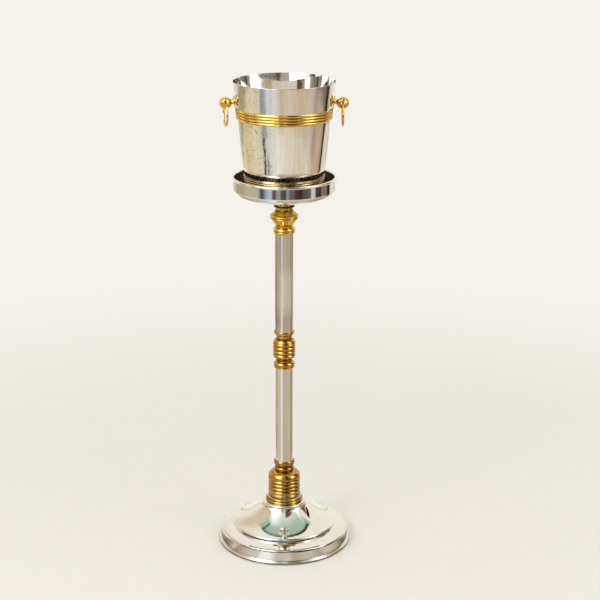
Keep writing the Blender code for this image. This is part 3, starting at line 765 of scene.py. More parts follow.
def base_line(steps=14):
    """The bell: two flares, a waist and a shoulder, as arcs that join smoothly, from the top."""
    radius, z, tilt = 98.8, 41.1, 69.5
    out = [(radius, z)]
    # Arc radius and the tilt it ends at, from the shoulder up.
    for bend, end in ((125.0, 54.5), (230.0, 47.5), (12.0, 5.0), (-2.8, 88.0)):
        first = math.radians(tilt)
        for k in range(1, steps + 1):
            now = math.radians(tilt + (end - tilt) * k / steps)
            out.append((radius + bend * (math.cos(first) - math.cos(now)),
                        z + bend * (math.sin(first) - math.sin(now))))
        (radius, z), tilt = out[-1], end
    return out[::-1]


def base_shell():
    outer = [(6.2, 84.5), (38.5, 84.5)] + base_line()
    rim = arc((97.6, 37.915), 3.4, 69.5, 0, 10)[1:]
    rim += fillet([
        (101.0, 36.0), (101.0, 34.0, 0.6), (112.0, 31.9, 30.0), (121.5, 29.5, 6.0),
        (124.9, 27.6, 2.2), (126.0, 24.4, 3.0), (126.0, 7.4, 0.7), (125.28, 5.76)],
        closed=False, steps=8)
    bead = arc((127.0, 3.3), 3.0, 125, -190, 24)
    coarse = [(6.2, 84.5)] + base_line(3) + [
        (100.5, 39.6), (101.0, 37.9), (101.0, 34.0), (121.5, 29.5), (124.6, 27.8),
        (126.0, 24.4), (126.0, 7.4)]
    inner = inset(coarse, 1.2)[::-1]
    turned("base_shell", fitted("base_shell", outer + rim[:-1] + bead + inner), BIG, "chrome",
           BASE_CHROME, longest=5.0)


def build_base():
    turned("felt_pad", fillet([(121.0, 2.0, 0.4), (121.0, 0.0, 0.1), (24.0, 0.0, 0.1),
                               (24.0, 2.0, 0.4)]), BIG, "felt", FELT, warp=felt_edge)
    washer("base_cover", BIG, 0.5, "zinc_steel", ZINC)
    turned("base_weight", fillet(fitted("base_weight", [
        (30.0, 24.0, 1.5), (34.0, 11.0, 2.0), (98.5, 11.0, 3.0), (103.2, 31.2, 0.5),
        (104.5, 31.2, 0.5), (119.4, 25.6, 1.0), (121.0, 24.0, 0.6), (121.0, 4.6, 1.0),
        (22.0, 4.6, 0.8), (22.0, 15.0, 0.5), (5.7, 15.0, 0.4), (5.7, 24.0, 0.4)])),
        MEDIUM, "cast_iron", IRON)
    base_shell()
    washer("base_washer", SMALL, 0.25, "zinc_steel", ZINC)
    nut("base_nut")
    threaded_rod("tie_rod")


# ================================================================ column
ROD_BORE = 5.7          # radius of the hole every column piece has for the tie rod


def column_part(node, line, slot="brass", look=TURNED):
    turned(node, fitted(node, line), MEDIUM, slot, look)


def column_foot():
    line = [(ROD_BORE, 93.6), (32.2, 93.6)]
    line += flow([(32.5, 93.5), (33.8, 93.0), (34.6, 91.9), (34.7, 90.7), (34.1, 89.8)], 5)
    line += flow([(34.3, 89.5), (35.6, 88.8), (36.4, 87.5), (36.4, 86.0), (35.7, 84.8)], 5)
    column_part("base_flange", line + [(ROD_BORE, 84.8)], "aged_brass", AGED)

    line = flow([(16.5, 147.0), (21.2, 145.9), (25.2, 144.1), (28.4, 141.5), (30.4, 138.4),
                 (31.3, 135.4), (31.5, 132.6)], 5)
    line += [(31.5, 131.6)]
    line += ribs(93.9, 130.9, 5, lambda z: 31.6, lambda z: 29.0, steps=14, power=0.75)
    line += fillet([(30.3, 93.9), (25.0, 93.9, 0.3), (25.0, 137.5, 1.0), (ROD_BORE, 141.0, 0.5),
                    (ROD_BORE, 147.0)], closed=False)[1:]
    column_part("ribbed_drum", line, "aged_brass", AGED)

    line = [(ROD_BORE, 157.6), (15.9, 157.6)]
    line += fillet([(16.2, 157.6), (16.2, 155.4, 0.8)] + arc((14.4, 150.7), 5.0, 66, -34, 10)
                   + [(17.4, 147.3)], closed=False)
    column_part("foot_bead", line + [(ROD_BORE, 147.3)], "aged_brass", SHADED_LOWEST_BRASS)

    column_part("foot_collar", fillet([
        (18.3, 167.7, 0.2), (19.9, 167.7, 0.5), (20.5, 166.4, 0.9), (20.5, 160.6, 2.0),
        (17.4, 157.9, 0.4), (ROD_BORE, 157.9), (ROD_BORE, 161.5), (18.3, 161.5)]),
        "aged_brass", SHADED_LOWEST_BRASS)


def tubes():
    outer, inner, edge = 18.0, 16.4, 0.3
    for node in ("lower_tube", "upper_tube"):
        _, foot, top = extent(node)
        line = fillet([(outer, top, edge), (outer, foot, edge), (inner, foot, edge),
                       (inner, top, edge)], steps=3)
        turned(node, line, MEDIUM, "chrome", TUBE_CHROME, longest=8.0)


def column_middle():
    line = flow([(15.6, 374.5), (17.2, 373.9), (18.9, 372.6), (20.1, 370.6), (20.5, 368.4),
                 (20.4, 366.6), (19.8, 365.6)], 5)
    line += fillet([(19.3, 365.0, 0.3), (19.9, 364.2, 0.5), (19.8, 362.6, 0.6),
                    (19.2, 361.5, 0.2), (18.3, 361.5), (18.3, 370.3), (ROD_BORE, 370.3)],
                   closed=False)
    column_part("mid_lower_collar", line + [(ROD_BORE, 374.5)], look=SHADED_MIDDLE_BRASS)

    line = [(ROD_BORE, 426.7)]
    line += fillet([(15.3, 426.7, 0.3), (15.3, 419.9, 1.6), (18.4, 418.3, 1.4),
                    (20.6, 415.6, 0.9), (21.1, 414.1, 0.5), (20.2, 413.6)], closed=False)
    line += ribs(383.2, 413.6, 4, lambda z: 22.0, lambda z: 20.0, steps=14, power=0.85)
    line += fillet([(20.4, 382.9, 0.6), (17.0, 380.0, 1.8), (15.3, 377.4, 1.6),
                    (15.3, 374.8, 0.2), (10.5, 374.8), (10.5, 416.0), (ROD_BORE, 418.5)],
                   closed=False)
    column_part("mid_barrel", line, look=SHADED_MIDDLE_BRASS)

    line = [(18.3, 435.5), (19.6, 435.5)]
    line += flow([(20.0, 434.9), (20.1, 433.0), (19.6, 430.9), (18.2, 428.8), (15.6, 427.0)], 5)
    line += [(ROD_BORE, 427.0), (ROD_BORE, 431.3), (18.3, 431.3)]
    column_part("mid_upper_collar", line, look=SHADED_MIDDLE_BRASS)


def capital():
    line = [(ROD_BORE, 643.2), (16.6, 643.2)]
    line += flow([(16.8, 642.4), (18.2, 641.2), (19.7, 639.9), (20.6, 638.0), (20.4, 636.2),
                  (19.8, 635.2)], 5)
    line += flow([(19.8, 634.9), (20.4, 634.2), (20.5, 632.9), (20.1, 631.2), (19.1, 629.3)], 4)
    line += [(18.3, 629.3), (18.3, 637.3), (ROD_BORE, 637.3)]
    column_part("capital_collar", line)

    line = [(ROD_BORE, 681.2)]
    line += fillet([(16.4, 681.2, 0.3), (16.4, 675.0, 4.0), (20.0, 671.3, 5.0),
                    (25.2, 666.6, 0.8), (26.4, 665.9)], closed=False, steps=8)
    line += arc((25.6, 663.9), 1.6, 60, -50, 10) + arc((25.0, 660.2), 1.7, 50, -60, 10)
    line += flow([(24.9, 657.2), (22.9, 654.4), (20.2, 650.6), (18.0, 647.6), (16.9, 645.4),
                  (16.5, 643.5)], 6)
    line += [(11.0, 643.5), (11.0, 670.0), (ROD_BORE, 673.0)]
    column_part("capital_knop", line)

    column_part("neck_washer", fillet([
        (20.1, 684.0, 0.9), (20.1, 681.5, 0.9), (ROD_BORE, 681.5, 0.2), (ROD_BORE, 684.0, 0.2)]),
        "black_rubber", RUBBER)


# ================================================================ dish
def tray_dish():
    wall, corner, foot = 95.4, 11.5, 704.7
    centre = (wall - corner, foot + corner)
    outer = [(wall, 734.5)] + arc(centre, corner, 0, -90, 16) + [(ROD_BORE, foot)]
    inner = inset(outer, 1.0)[::-1]
    bead = arc((96.4, 738.0), 2.6, 172, -128, 26)
    under = fillet([bead[-1], (wall, 735.0, 0.6), outer[1]], closed=False)
    line = fitted("tray_dish", bead + under[1:-1] + outer[1:] + inner)

    def inside(radius, z):
        if z > 716.2:
            return radius < 94.9 and z < 736.4
        if radius > 83.9:
            return math.hypot(radius - 83.9, z - 716.2) < 11.0
        return z > 705.2
    # The dish's inside takes the painted shade and painted reflections.
    turned("tray_dish", line, BIG, "chrome", CHROME, DISH_SHADE, longest=5.0, split=inside)


def build_dish():
    line = [(ROD_BORE, 704.4)]
    line += fillet([(28.0, 704.4, 0.5), (28.0, 701.8, 0.9), (19.6, 698.3, 3.0),
                    (16.4, 693.4, 3.0), (16.4, 684.3, 0.3)], closed=False, steps=8)
    column_part("tray_support", line + [(ROD_BORE, 684.3)], look=BRASS)
    tray_dish()
    washer("tray_washer", SMALL, 0.25, "zinc_steel", ZINC)
    nut("tray_nut")


# ================================================================ bucket
_, FLOOR_Z, RIM_Z = extent("bucket_shell")
RIM_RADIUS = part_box("bucket_shell")[1].x / MM
SLOPE = 0.119           # radius gained per millimetre of height
SHEET = 1.2
TUCK, TUCK_TOP = 1.1, 761.0


def wall_radius(z):
    """The bucket's outer radius at a height."""
    return RIM_RADIUS + SLOPE * (z - RIM_Z)


def tuck(z):
    """How far the wall draws in just above the foot ring."""
    part = min(1.0, max(0.0, (TUCK_TOP - z) / 18.4))
    return TUCK * part * part * (3 - 2 * part)


def dents(angle, radius, z):
    """Hand-spun sheet: the wall swims in and out by a tenth of a millimetre."""
    spot = Vector((math.cos(angle) * 2.2, math.sin(angle) * 2.2, z * 0.022))
    return radius + 0.11 * noise.noise(spot) + 0.03 * noise.noise(spot * 3.1), z


def bucket_shell():
    corner = 4.0
    centre = (wall_radius(FLOOR_Z + corner) - TUCK - corner, FLOOR_Z + corner)
    outer = [(wall_radius(RIM_Z), RIM_Z, 0.45), (wall_radius(870.0), 870.0)]
    for k in range(11):
        z = TUCK_TOP - 1.84 * k
        outer.append((wall_radius(z) - tuck(z), z))
    outer += arc(centre, corner, 0, -90, 10) + [(0.0, FLOOR_Z)]
    inner = inset([point[:2] for point in outer], SHEET)
    inner[0] = (inner[0][0], RIM_Z, 0.45)
    inner[-1] = (0.0, inner[-1][1])

    def inside(radius, z):
        return radius < wall_radius(z) - tuck(z) - SHEET / 2 and z > FLOOR_Z + SHEET / 2
    turned("bucket_shell", fillet(inner[::-1] + outer, closed=False, steps=4), BIG,
           "bucket_steel", STEEL, MIRROR, closed=False, longest=4.0, warp=dents, split=inside)


def build_bucket():
    bucket_shell()

    _, low, high = extent("rib_band")
    band = [(wall_radius(high) + 0.3, high)]
    band += ribs(low, high, 4, lambda z: wall_radius(z) + 2.1, lambda z: wall_radius(z) + 0.7,
                 steps=12, power=0.9)
    turned("rib_band", band + [(wall_radius(low) + 0.3, low)], BIG, "brass", BRASS)

    _, low, high = extent("foot_ring")
    ring = [(wall_radius(high) - 0.8, high), (wall_radius(high) + 0.9, high)]
    ring += ribs(728.6, high, 4, lambda z: wall_radius(z) + 2.3,
                 lambda z: wall_radius(z) + 1.15, steps=10, power=0.8)
    ring += flow([(74.6, 727.6), (74.3, 723.0), (74.4, 717.0), (75.2, 712.6), (76.4, 709.8),
                  (77.0, 708.0)], 4)
    ring += [(76.8, low + 0.4), (76.3, low), (73.3, low), (72.9, low + 0.4), (71.8, FLOOR_Z)]
    # The ring's top ledge, above 741.5 mm, takes the dish's painted shade.
    turned("foot_ring", ring, BIG, "brass", BRASS, DISH_SHADE, split=lambda radius, z: z > 741.5)


# ================================================================ handles
# A knob's own frame has its origin on the bucket's outer wall and +Z out along the knob.
LEAN = math.radians(10.0)
BALL_RADIUS, BALL_OFFSET = 11.3, 17.6
SCREW_BORE = 2.6


def escutcheon(side, place):
    """A coin whose back follows the wall."""
    high = 1.8
    coin = fillet([(SCREW_BORE, high), (8.6, high, 1.0), (10.2, high - 0.5, 0.4), (10.2, 0.2),
                   (SCREW_BORE, 0.2)])
    obj = lathe(side + "_escutcheon_fine", coin, SMALL, longest=1.2)
    for vert in obj.data.vertices:
        local = vert.co / MM
        if local.z < 0.6:
            depth = 0.0
            for _ in range(12):
                spot = place @ (Vector((local.x, local.y, depth)) * MM)
                depth -= math.hypot(spot.x, spot.y) / MM - (wall_radius(spot.z / MM) + 0.30)
            vert.co = Vector((local.x, local.y, depth)) * MM
    obj.data.transform(place)
    obj.data.update()
    piece(obj, side + "_escutcheon", "brass", BRASS)


def knob(side, place, pivot):
    """A ball on a waisted neck, bored across for the ring."""
    foot, neck = 2.0, 4.9
    join = math.degrees(math.asin(neck / BALL_RADIUS))
    line = arc((0.0, BALL_OFFSET), BALL_RADIUS, 90, -90 + join + 3, 40)
    line[0] = (0.0, BALL_OFFSET + BALL_RADIUS)
    line += flow([(neck + 0.15, 7.6), (neck, 6.6), (neck + 0.1, 4.6), (neck + 0.5, 3.0),
                  (neck + 1.0, foot)], 4)
    line += [(2.4, foot), (2.4, 10.4), (0.0, 10.4)]
    obj = lathe(side + "_knob_fine", line, SMALL, closed=False, longest=2.0, place=place)
    reach = BALL_RADIUS + 2.0
    mouth = [(0.0, reach)] + flow([(7.4, reach), (6.1, 10.2), (5.0, 8.8), (4.4, 7.0)], 5)
    mouth += [(radius, -z) for radius, z in reversed(mouth[1:])] + [(0.0, -reach)]
    hole = lathe(side + "_hole", mouth, 48, closed=False, longest=20.0,
                 place=Matrix.Translation(pivot) @ Matrix.Rotation(math.pi / 2, 4, "X"))
    # The bore's walls take full cavity, so the whole hole darkens: patina and painted shade.
    hole.data.attributes["cavity"].data.foreach_set("value", [1.0] * len(hole.data.vertices))
    carve(obj, hole)
    piece(obj, side + "_knob", "brass", BRASS)


def washer_and_screw(side, place):
    """A washer and a pan-head screw with a cross recess, inside the bucket."""
    face = -SHEET - 0.9
    ring = fillet([(5.5, face, 0.25), (5.5, face - 1.2, 0.25),
                   (SCREW_BORE, face - 1.2, 0.15), (SCREW_BORE, face, 0.15)])
    piece(lathe(side + "_washer_fine", ring, SMALL, place=place), side + "_washer",
          "zinc_steel", ZINC)

    head = face - 1.5
    line = [(0.0, 9.6), (1.6, 9.6), (2.0, 9.0), (2.0, head), (4.0, head)]
    line += flow([(4.0, head - 0.4), (3.85, head - 1.3), (3.2, head - 2.0), (2.0, head - 2.4),
                  (0.001, head - 2.5)], 5)[:-1]
    screw = lathe(side + "_screw_fine", line + [(0.0, head - 2.5)], 48, closed=False,
                  longest=3.0)
    for across in (0, 1):
        work = bmesh.new()
        bmesh.ops.create_cube(work, size=1.0, matrix=(
            Matrix.Translation((0, 0, (head - 2.2) * MM))
            @ Matrix.Rotation(across * math.pi / 2, 4, "Z")
            @ Matrix.Diagonal((4.2 * MM, 0.9 * MM, 1.8 * MM, 1.0))))
        mesh = bpy.data.meshes.new(side + "_recess")
        work.to_mesh(mesh)
        work.free()
        carve(screw, link(side + "_recess", mesh))
    screw.data.transform(place)
    piece(screw, side + "_screw", "zinc_steel", ZINC)


def pull_ring(side, pivot, axis):
    """The ring through the ball."""
    low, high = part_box(side + "_ring")
    wire_radius = 1.9
    major = (high.z - low.z) / 2 / MM - wire_radius
    middle = Vector((pivot.x, pivot.y, (high.z + low.z) / 2))
    yaw = math.atan2(-axis[0], axis[1])
    rings = []
    for around in angles(160):
        # The wire flattens a little where it has worn in the hole.
        worn = sum(0.12 * math.exp(-((around - top) / 0.35) ** 2) for top in (0, 2 * math.pi))
        section = []
        for angle in angles(24):
            size = wire_radius - worn * max(0.0, -math.cos(angle))
            radius = major + size * math.cos(angle)
            section.append((size * math.sin(angle), radius * math.sin(around),
                            radius * math.cos(around)))
        rings.append(section)
    verts, faces = skin(rings)
    place = Matrix.Translation(middle) @ Matrix.Rotation(yaw, 4, "Z")
    obj = finish_mesh(side + "_ring_fine", verts, faces, depth=[0.0] * len(verts), place=place)
    piece(obj, side + "_ring", "brass", BRASS)


def build_handle(side):
    joint = JOINTS[side + "_ring_swing"]
    pivot = Vector(joint["pos_m"])
    sign = 1 if pivot.x > 0 else -1
    turn = Matrix.Rotation(sign * (math.pi / 2 + LEAN), 4, "Y")
    outward = turn @ Vector((0, 0, 1))
    place = Matrix.Translation(pivot - outward * BALL_OFFSET * MM) @ turn
    escutcheon(side, place)
    knob(side, place, pivot)
    washer_and_screw(side, place)
    pull_ring(side, pivot, joint["axis"])


build_base()
column_foot()
tubes()
column_middle()
capital()
build_dish()
build_bucket()
for hand in ("left", "right"):
    build_handle(hand)


# ================================================================ surroundings
# Colours by bearing: degrees from the front, positive to the right, then red, green, blue.
CREAM = (1.02, 0.97, 0.84)
WINDOW = (4.2, 4.2, 4.0)

# The far floor and the feet of the furniture.
SKIRTING = [
    (-180, 0.73, 0.7, 0.6), (-150, 0.7, 0.66, 0.54), (-131, 0.5, 0.42, 0.27),
    (-116, 0.5, 0.42, 0.26), (-104, 0.5, 0.43, 0.29), (-94, 0.58, 0.52, 0.36),
    (-72, 0.6, 0.56, 0.42), (-62, 0.57, 0.54, 0.43), (-59, 0.42, 0.43, 0.39),
    (-56, 0.26, 0.28, 0.28), (-53, 0.09, 0.11, 0.12), (-48, 0.09, 0.11, 0.125),
    (-44, 0.28, 0.32, 0.38), (-38, 0.47, 0.51, 0.58), (-30, 0.56, 0.62, 0.72),
    (-27, 0.33, 0.35, 0.4), (-24, 0.13, 0.1, 0.085), (-20, 0.13, 0.1, 0.08),
    (-17, 0.36, 0.33, 0.26), (-10, 0.4, 0.37, 0.29), (-7, 0.12, 0.125, 0.105),
    (0, 0.07, 0.073, 0.066), (4, 0.12, 0.12, 0.11), (6, 0.34, 0.34, 0.33),
    (10, 0.32, 0.32, 0.3), (12, 0.15, 0.135, 0.105), (22, 0.16, 0.135, 0.1),
    (25, 0.1, 0.05, 0.035), (33, 0.06, 0.03, 0.022), (38, 0.035, 0.03, 0.025),
    (42, 0.085, 0.08, 0.06), (56, 0.135, 0.125, 0.1), (61, 0.2, 0.19, 0.17),
    (64, 0.74, 0.73, 0.69), (72, 0.61, 0.61, 0.61), (75, 0.07, 0.06, 0.06),
    (89, 0.05, 0.035, 0.03), (92, 0.24, 0.19, 0.15), (108, 0.25, 0.19, 0.13),
    (112, 0.12, 0.09, 0.06), (115, 0.015, 0.012, 0.01), (121, 0.02, 0.015, 0.012),
    (124, 0.62, 0.57, 0.46), (134, 0.95, 0.9, 0.76), (150, 0.72, 0.69, 0.58),
    (180, 0.73, 0.7, 0.6)]

LOW_WALL = [
    (-180, *CREAM), (-150, 1.0, 0.95, 0.82), (-112, 1.1, 1.05, 0.95), (-106, 0.35, 0.3, 0.26),
    (-92, 0.22, 0.18, 0.16), (-89, 1.5, 1.5, 1.45), (-77, 1.5, 1.5, 1.45),
    (-74, 0.03, 0.025, 0.02), (-69, 0.03, 0.025, 0.02), (-67, 0.25, 0.24, 0.23),
    (-62, 0.32, 0.31, 0.3), (-60, 1.0, 1.0, 1.0), (-50, 1.2, 1.2, 1.2), (-47, *WINDOW),
    (-14, *WINDOW), (-11, 0.52, 0.47, 0.39), (8, 0.5, 0.45, 0.37), (11, 0.1, 0.07, 0.05),
    (16, 0.1, 0.07, 0.05), (20, 0.28, 0.24, 0.2), (58, 0.42, 0.38, 0.33), (64, 2.0, 2.0, 1.9),
    (84, 2.0, 2.0, 1.9), (88, 1.1, 1.1, 1.0), (103, 1.0, 0.98, 0.9), (107, 0.3, 0.28, 0.26),
    (120, 0.05, 0.04, 0.04), (124, 0.08, 0.07, 0.06), (130, 0.6, 0.56, 0.48), (150, *CREAM),
    (180, *CREAM)]

HIGH_WALL = [
    (-180, *CREAM), (-150, 0.9, 0.82, 0.66), (-128, 0.74, 0.63, 0.44), (-96, 0.7, 0.6, 0.42),
    (-84, 0.86, 0.82, 0.68), (-74, 1.2, 1.2, 1.1), (-66, 1.6, 1.6, 1.6), (-60, 4.2, 4.2, 4.1),
    (-32, 4.0, 4.0, 3.9), (-26, 1.5, 1.5, 1.5), (-18, 1.1, 1.12, 1.12), (-14, 0.36, 0.42, 0.4),
    (-6, 0.34, 0.42, 0.37), (-3, 0.62, 0.7, 0.6), (4, 0.66, 0.72, 0.61), (8, 0.32, 0.25, 0.19),
    (14, 0.2, 0.09, 0.05), (22, 0.11, 0.045, 0.025), (31, 0.06, 0.025, 0.015),
    (34, 0.34, 0.32, 0.2), (44, 0.55, 0.58, 0.44), (54, 0.95, 0.95, 0.86), (61, 3.6, 3.6, 3.5),
    (76, 3.4, 3.4, 3.3), (84, 0.62, 0.54, 0.44), (94, 0.4, 0.29, 0.17),
    (102, 0.2, 0.085, 0.025), (117, 0.22, 0.095, 0.03), (121, 0.45, 0.33, 0.22),
    (127, *CREAM), (180, *CREAM)]

# The foot of the room's walls, above the skirting.
WALL_FOOT = [
    (-180, *CREAM), (-110, 0.9, 0.82, 0.64), (-98, 0.16, 0.12, 0.085), (-60, 0.14, 0.1, 0.075),
    (-50, 0.1, 0.085, 0.08), (-46, 0.24, 0.25, 0.27), (-28, 0.24, 0.25, 0.27),
    (-25, 0.1, 0.08, 0.07), (-18, 0.2, 0.18, 0.15), (-9, 0.2, 0.18, 0.15),
    (-6, 0.08, 0.08, 0.07), (4, 0.1, 0.09, 0.08), (7, 0.3, 0.28, 0.25), (11, 0.28, 0.26, 0.23),
    (14, 0.16, 0.13, 0.1), (23, 0.15, 0.12, 0.09), (26, 0.05, 0.03, 0.02),
    (38, 0.05, 0.035, 0.025), (44, 0.15, 0.12, 0.09), (62, 0.17, 0.14, 0.11),
    (66, 0.42, 0.4, 0.38), (72, 0.4, 0.38, 0.36), (76, 0.09, 0.06, 0.05), (92, 0.2, 0.14, 0.1),
    (112, 0.22, 0.15, 0.1), (120, 0.6, 0.53, 0.4), (130, *CREAM), (180, *CREAM)]

# The floor next to the stand.
CLOSE_FLOOR = [
    (-180, 1.0, 0.96, 0.84), (-110, 0.9, 0.84, 0.7), (-91, 0.52, 0.46, 0.35),
    (-79, 0.28, 0.23, 0.165), (-70, 0.38, 0.33, 0.25), (-62, 0.82, 0.72, 0.55),
    (-56, 0.45, 0.365, 0.25), (-50, 0.61, 0.52, 0.39), (-40, 0.71, 0.64, 0.53),
    (-30, 0.75, 0.71, 0.63), (-26, 1.0, 0.99, 0.96), (-21, 1.08, 1.07, 1.03),
    (-16, 1.04, 1.02, 1.0), (-12, 0.86, 0.81, 0.74), (-8, 0.66, 0.59, 0.46),
    (0, 0.67, 0.62, 0.51), (4, 0.71, 0.66, 0.55), (8, 0.6, 0.53, 0.4), (12, 0.53, 0.43, 0.3),
    (21, 0.6, 0.55, 0.43), (31, 0.6, 0.58, 0.46), (40, 0.5, 0.42, 0.33), (48, 0.69, 0.63, 0.53),
    (56, 0.66, 0.59, 0.45), (63, 0.6, 0.5, 0.37), (70, 0.4, 0.335, 0.265),
    (79, 0.19, 0.16, 0.1), (91, 0.53, 0.455, 0.34), (110, 0.9, 0.84, 0.7),
    (180, 1.0, 0.96, 0.84)]

# The floor further out: the two distances in metres over which each zone takes over, its stops.
FLOOR_ZONES = [
    (0.19, 0.24, [
        (-180, 1.0, 0.96, 0.84), (-96, 0.95, 0.9, 0.78), (-76, 0.72, 0.66, 0.55),
        (-52, 0.76, 0.71, 0.62), (-47, 1.02, 1.0, 0.95), (-25, 1.0, 0.97, 0.91),
        (-19, 0.66, 0.6, 0.49), (0, 0.66, 0.6, 0.49), (14, 0.55, 0.46, 0.34),
        (34, 0.5, 0.41, 0.29), (52, 0.64, 0.56, 0.44), (58, 0.8, 0.74, 0.63),
        (64, 0.62, 0.56, 0.46), (84, 0.7, 0.64, 0.53), (110, 0.95, 0.9, 0.78),
        (180, 1.0, 0.96, 0.84)]),
    (0.30, 0.50, [
        (-180, 1.05, 1.0, 0.88), (-138, 1.0, 0.94, 0.8), (-124, 0.44, 0.35, 0.2),
        (-112, 0.56, 0.47, 0.31), (-85, 0.64, 0.55, 0.39), (-60, 0.68, 0.64, 0.52),
        (-46, 0.7, 0.68, 0.58), (-36, 0.98, 0.97, 0.92), (-24, 0.97, 0.96, 0.92),
        (-16, 0.6, 0.56, 0.46), (-4, 0.6, 0.52, 0.39), (10, 0.66, 0.57, 0.43),
        (30, 0.58, 0.49, 0.36), (48, 0.68, 0.6, 0.47), (72, 0.62, 0.53, 0.4),
        (84, 0.46, 0.38, 0.26), (98, 0.38, 0.3, 0.18), (112, 0.46, 0.38, 0.25),
        (120, 0.6, 0.52, 0.38), (132, 1.0, 0.94, 0.8), (180, 1.05, 1.0, 0.88)]),
    (1.40, 1.60, [
        (-180, 1.2, 1.16, 1.02), (-150, 1.14, 1.05, 0.82), (-134, 0.88, 0.7, 0.38),
        (-116, 0.67, 0.54, 0.32), (-103, 0.78, 0.66, 0.44), (-92, 0.96, 0.85, 0.6),
        (-72, 0.89, 0.83, 0.65), (-50, 0.86, 0.84, 0.71), (-36, 0.86, 0.86, 0.78),
        (-20, 1.04, 1.02, 0.94), (0, 0.96, 0.9, 0.76), (14, 0.93, 0.88, 0.74),
        (30, 0.9, 0.83, 0.66), (52, 0.85, 0.77, 0.6), (66, 0.93, 0.84, 0.7),
        (80, 0.83, 0.69, 0.5), (100, 0.71, 0.57, 0.37), (113, 0.58, 0.46, 0.31),
        (116, 0.05, 0.04, 0.03), (120, 0.05, 0.04, 0.03), (123, 0.84, 0.77, 0.62),
        (140, 1.05, 0.92, 0.7), (160, 1.17, 1.09, 0.92), (180, 1.2, 1.16, 1.02)]),
    (1.86, 2.02, [
        (-180, 1.2, 1.16, 1.02), (-160, 1.2, 1.16, 1.02), (-139, 1.1, 0.9, 0.52),
        (-116, 0.8, 0.66, 0.4), (-104, 0.88, 0.74, 0.48), (-93, 0.93, 0.8, 0.56),
        (-72, 0.93, 0.84, 0.64), (-60, 0.78, 0.74, 0.6), (-56, 0.4, 0.43, 0.45),
        (-47, 0.43, 0.48, 0.54), (-41, 0.78, 0.83, 0.9), (-28, 0.85, 0.86, 0.87),
        (-20, 0.93, 0.91, 0.83), (-8, 0.66, 0.6, 0.47), (0, 0.72, 0.65, 0.5),
        (11, 0.84, 0.75, 0.6), (28, 0.74, 0.62, 0.44), (52, 0.72, 0.6, 0.43),
        (66, 0.73, 0.66, 0.56), (80, 0.5, 0.4, 0.31), (90, 0.64, 0.52, 0.4),
        (104, 0.66, 0.52, 0.34), (113, 0.42, 0.32, 0.2), (116, 0.04, 0.03, 0.025),
        (121, 0.04, 0.03, 0.025), (124, 0.78, 0.7, 0.56), (139, 1.05, 0.9, 0.68),
        (160, 1.17, 1.09, 0.92), (180, 1.2, 1.16, 1.02)]),
    (2.62, 2.85, SKIRTING)]


def by_bearing(turn, stops):
    """A colour from a table of bearings.  A ramp holds 32 stops, so a longer table takes two."""
    stops = [((bearing + 180) / 360, *colour) for bearing, *colour in stops]
    if len(stops) <= 32:
        return ramp(turn, stops)
    half = len(stops) // 2
    return mix(calc("GREATER_THAN", turn, stops[half][0]),
               ramp(turn, stops[:half + 1]), ramp(turn, stops[half:]))


def ceiling_look(across, along):
    """The ceiling's colour at a place on it, in metres to the right and to the back."""
    look = mix(ease(along, -0.95, 0.15), (0.88, 0.95, 0.85), (0.47, 0.57, 0.47))
    beam = ease(absolute(across + 1.2), 0.16, 0.05) * ease(along, -0.1, 0.2)
    back_edge = (ease(along, 0.55, 0.80) * ease(across, -1.35, -1.15)
                 * ease(across, 1.95, 1.6) * ease(across, -0.5, 0.6, 0.55, 1.0))
    front_board = (ease(along, -0.60, -0.72) * ease(across, 0.10, 0.22)
                   * ease(across, 1.25, 1.05))
    for mask, colour in (
            (ease(across, -0.1, -1.3) * ease(along, 0.25, -0.55), (1.5, 1.5, 1.48)),
            (ease(across, 1.35, 2.0) * ease(along, 0.7, -0.3), (1.35, 1.35, 1.28)),
            (beam * 0.85, (0.09, 0.15, 0.12)),
            (back_edge, (0.035, 0.045, 0.035)),
            (front_board, (0.19, 0.09, 0.05)),
            (ease(across, -1.62, -1.82) * ease(along, -0.2, 0.1), (0.76, 0.66, 0.46)),
            (ease(across, 2.0, 2.25), (1.0, 0.95, 0.84))):
        look = mix(mask, look, colour)
    return look


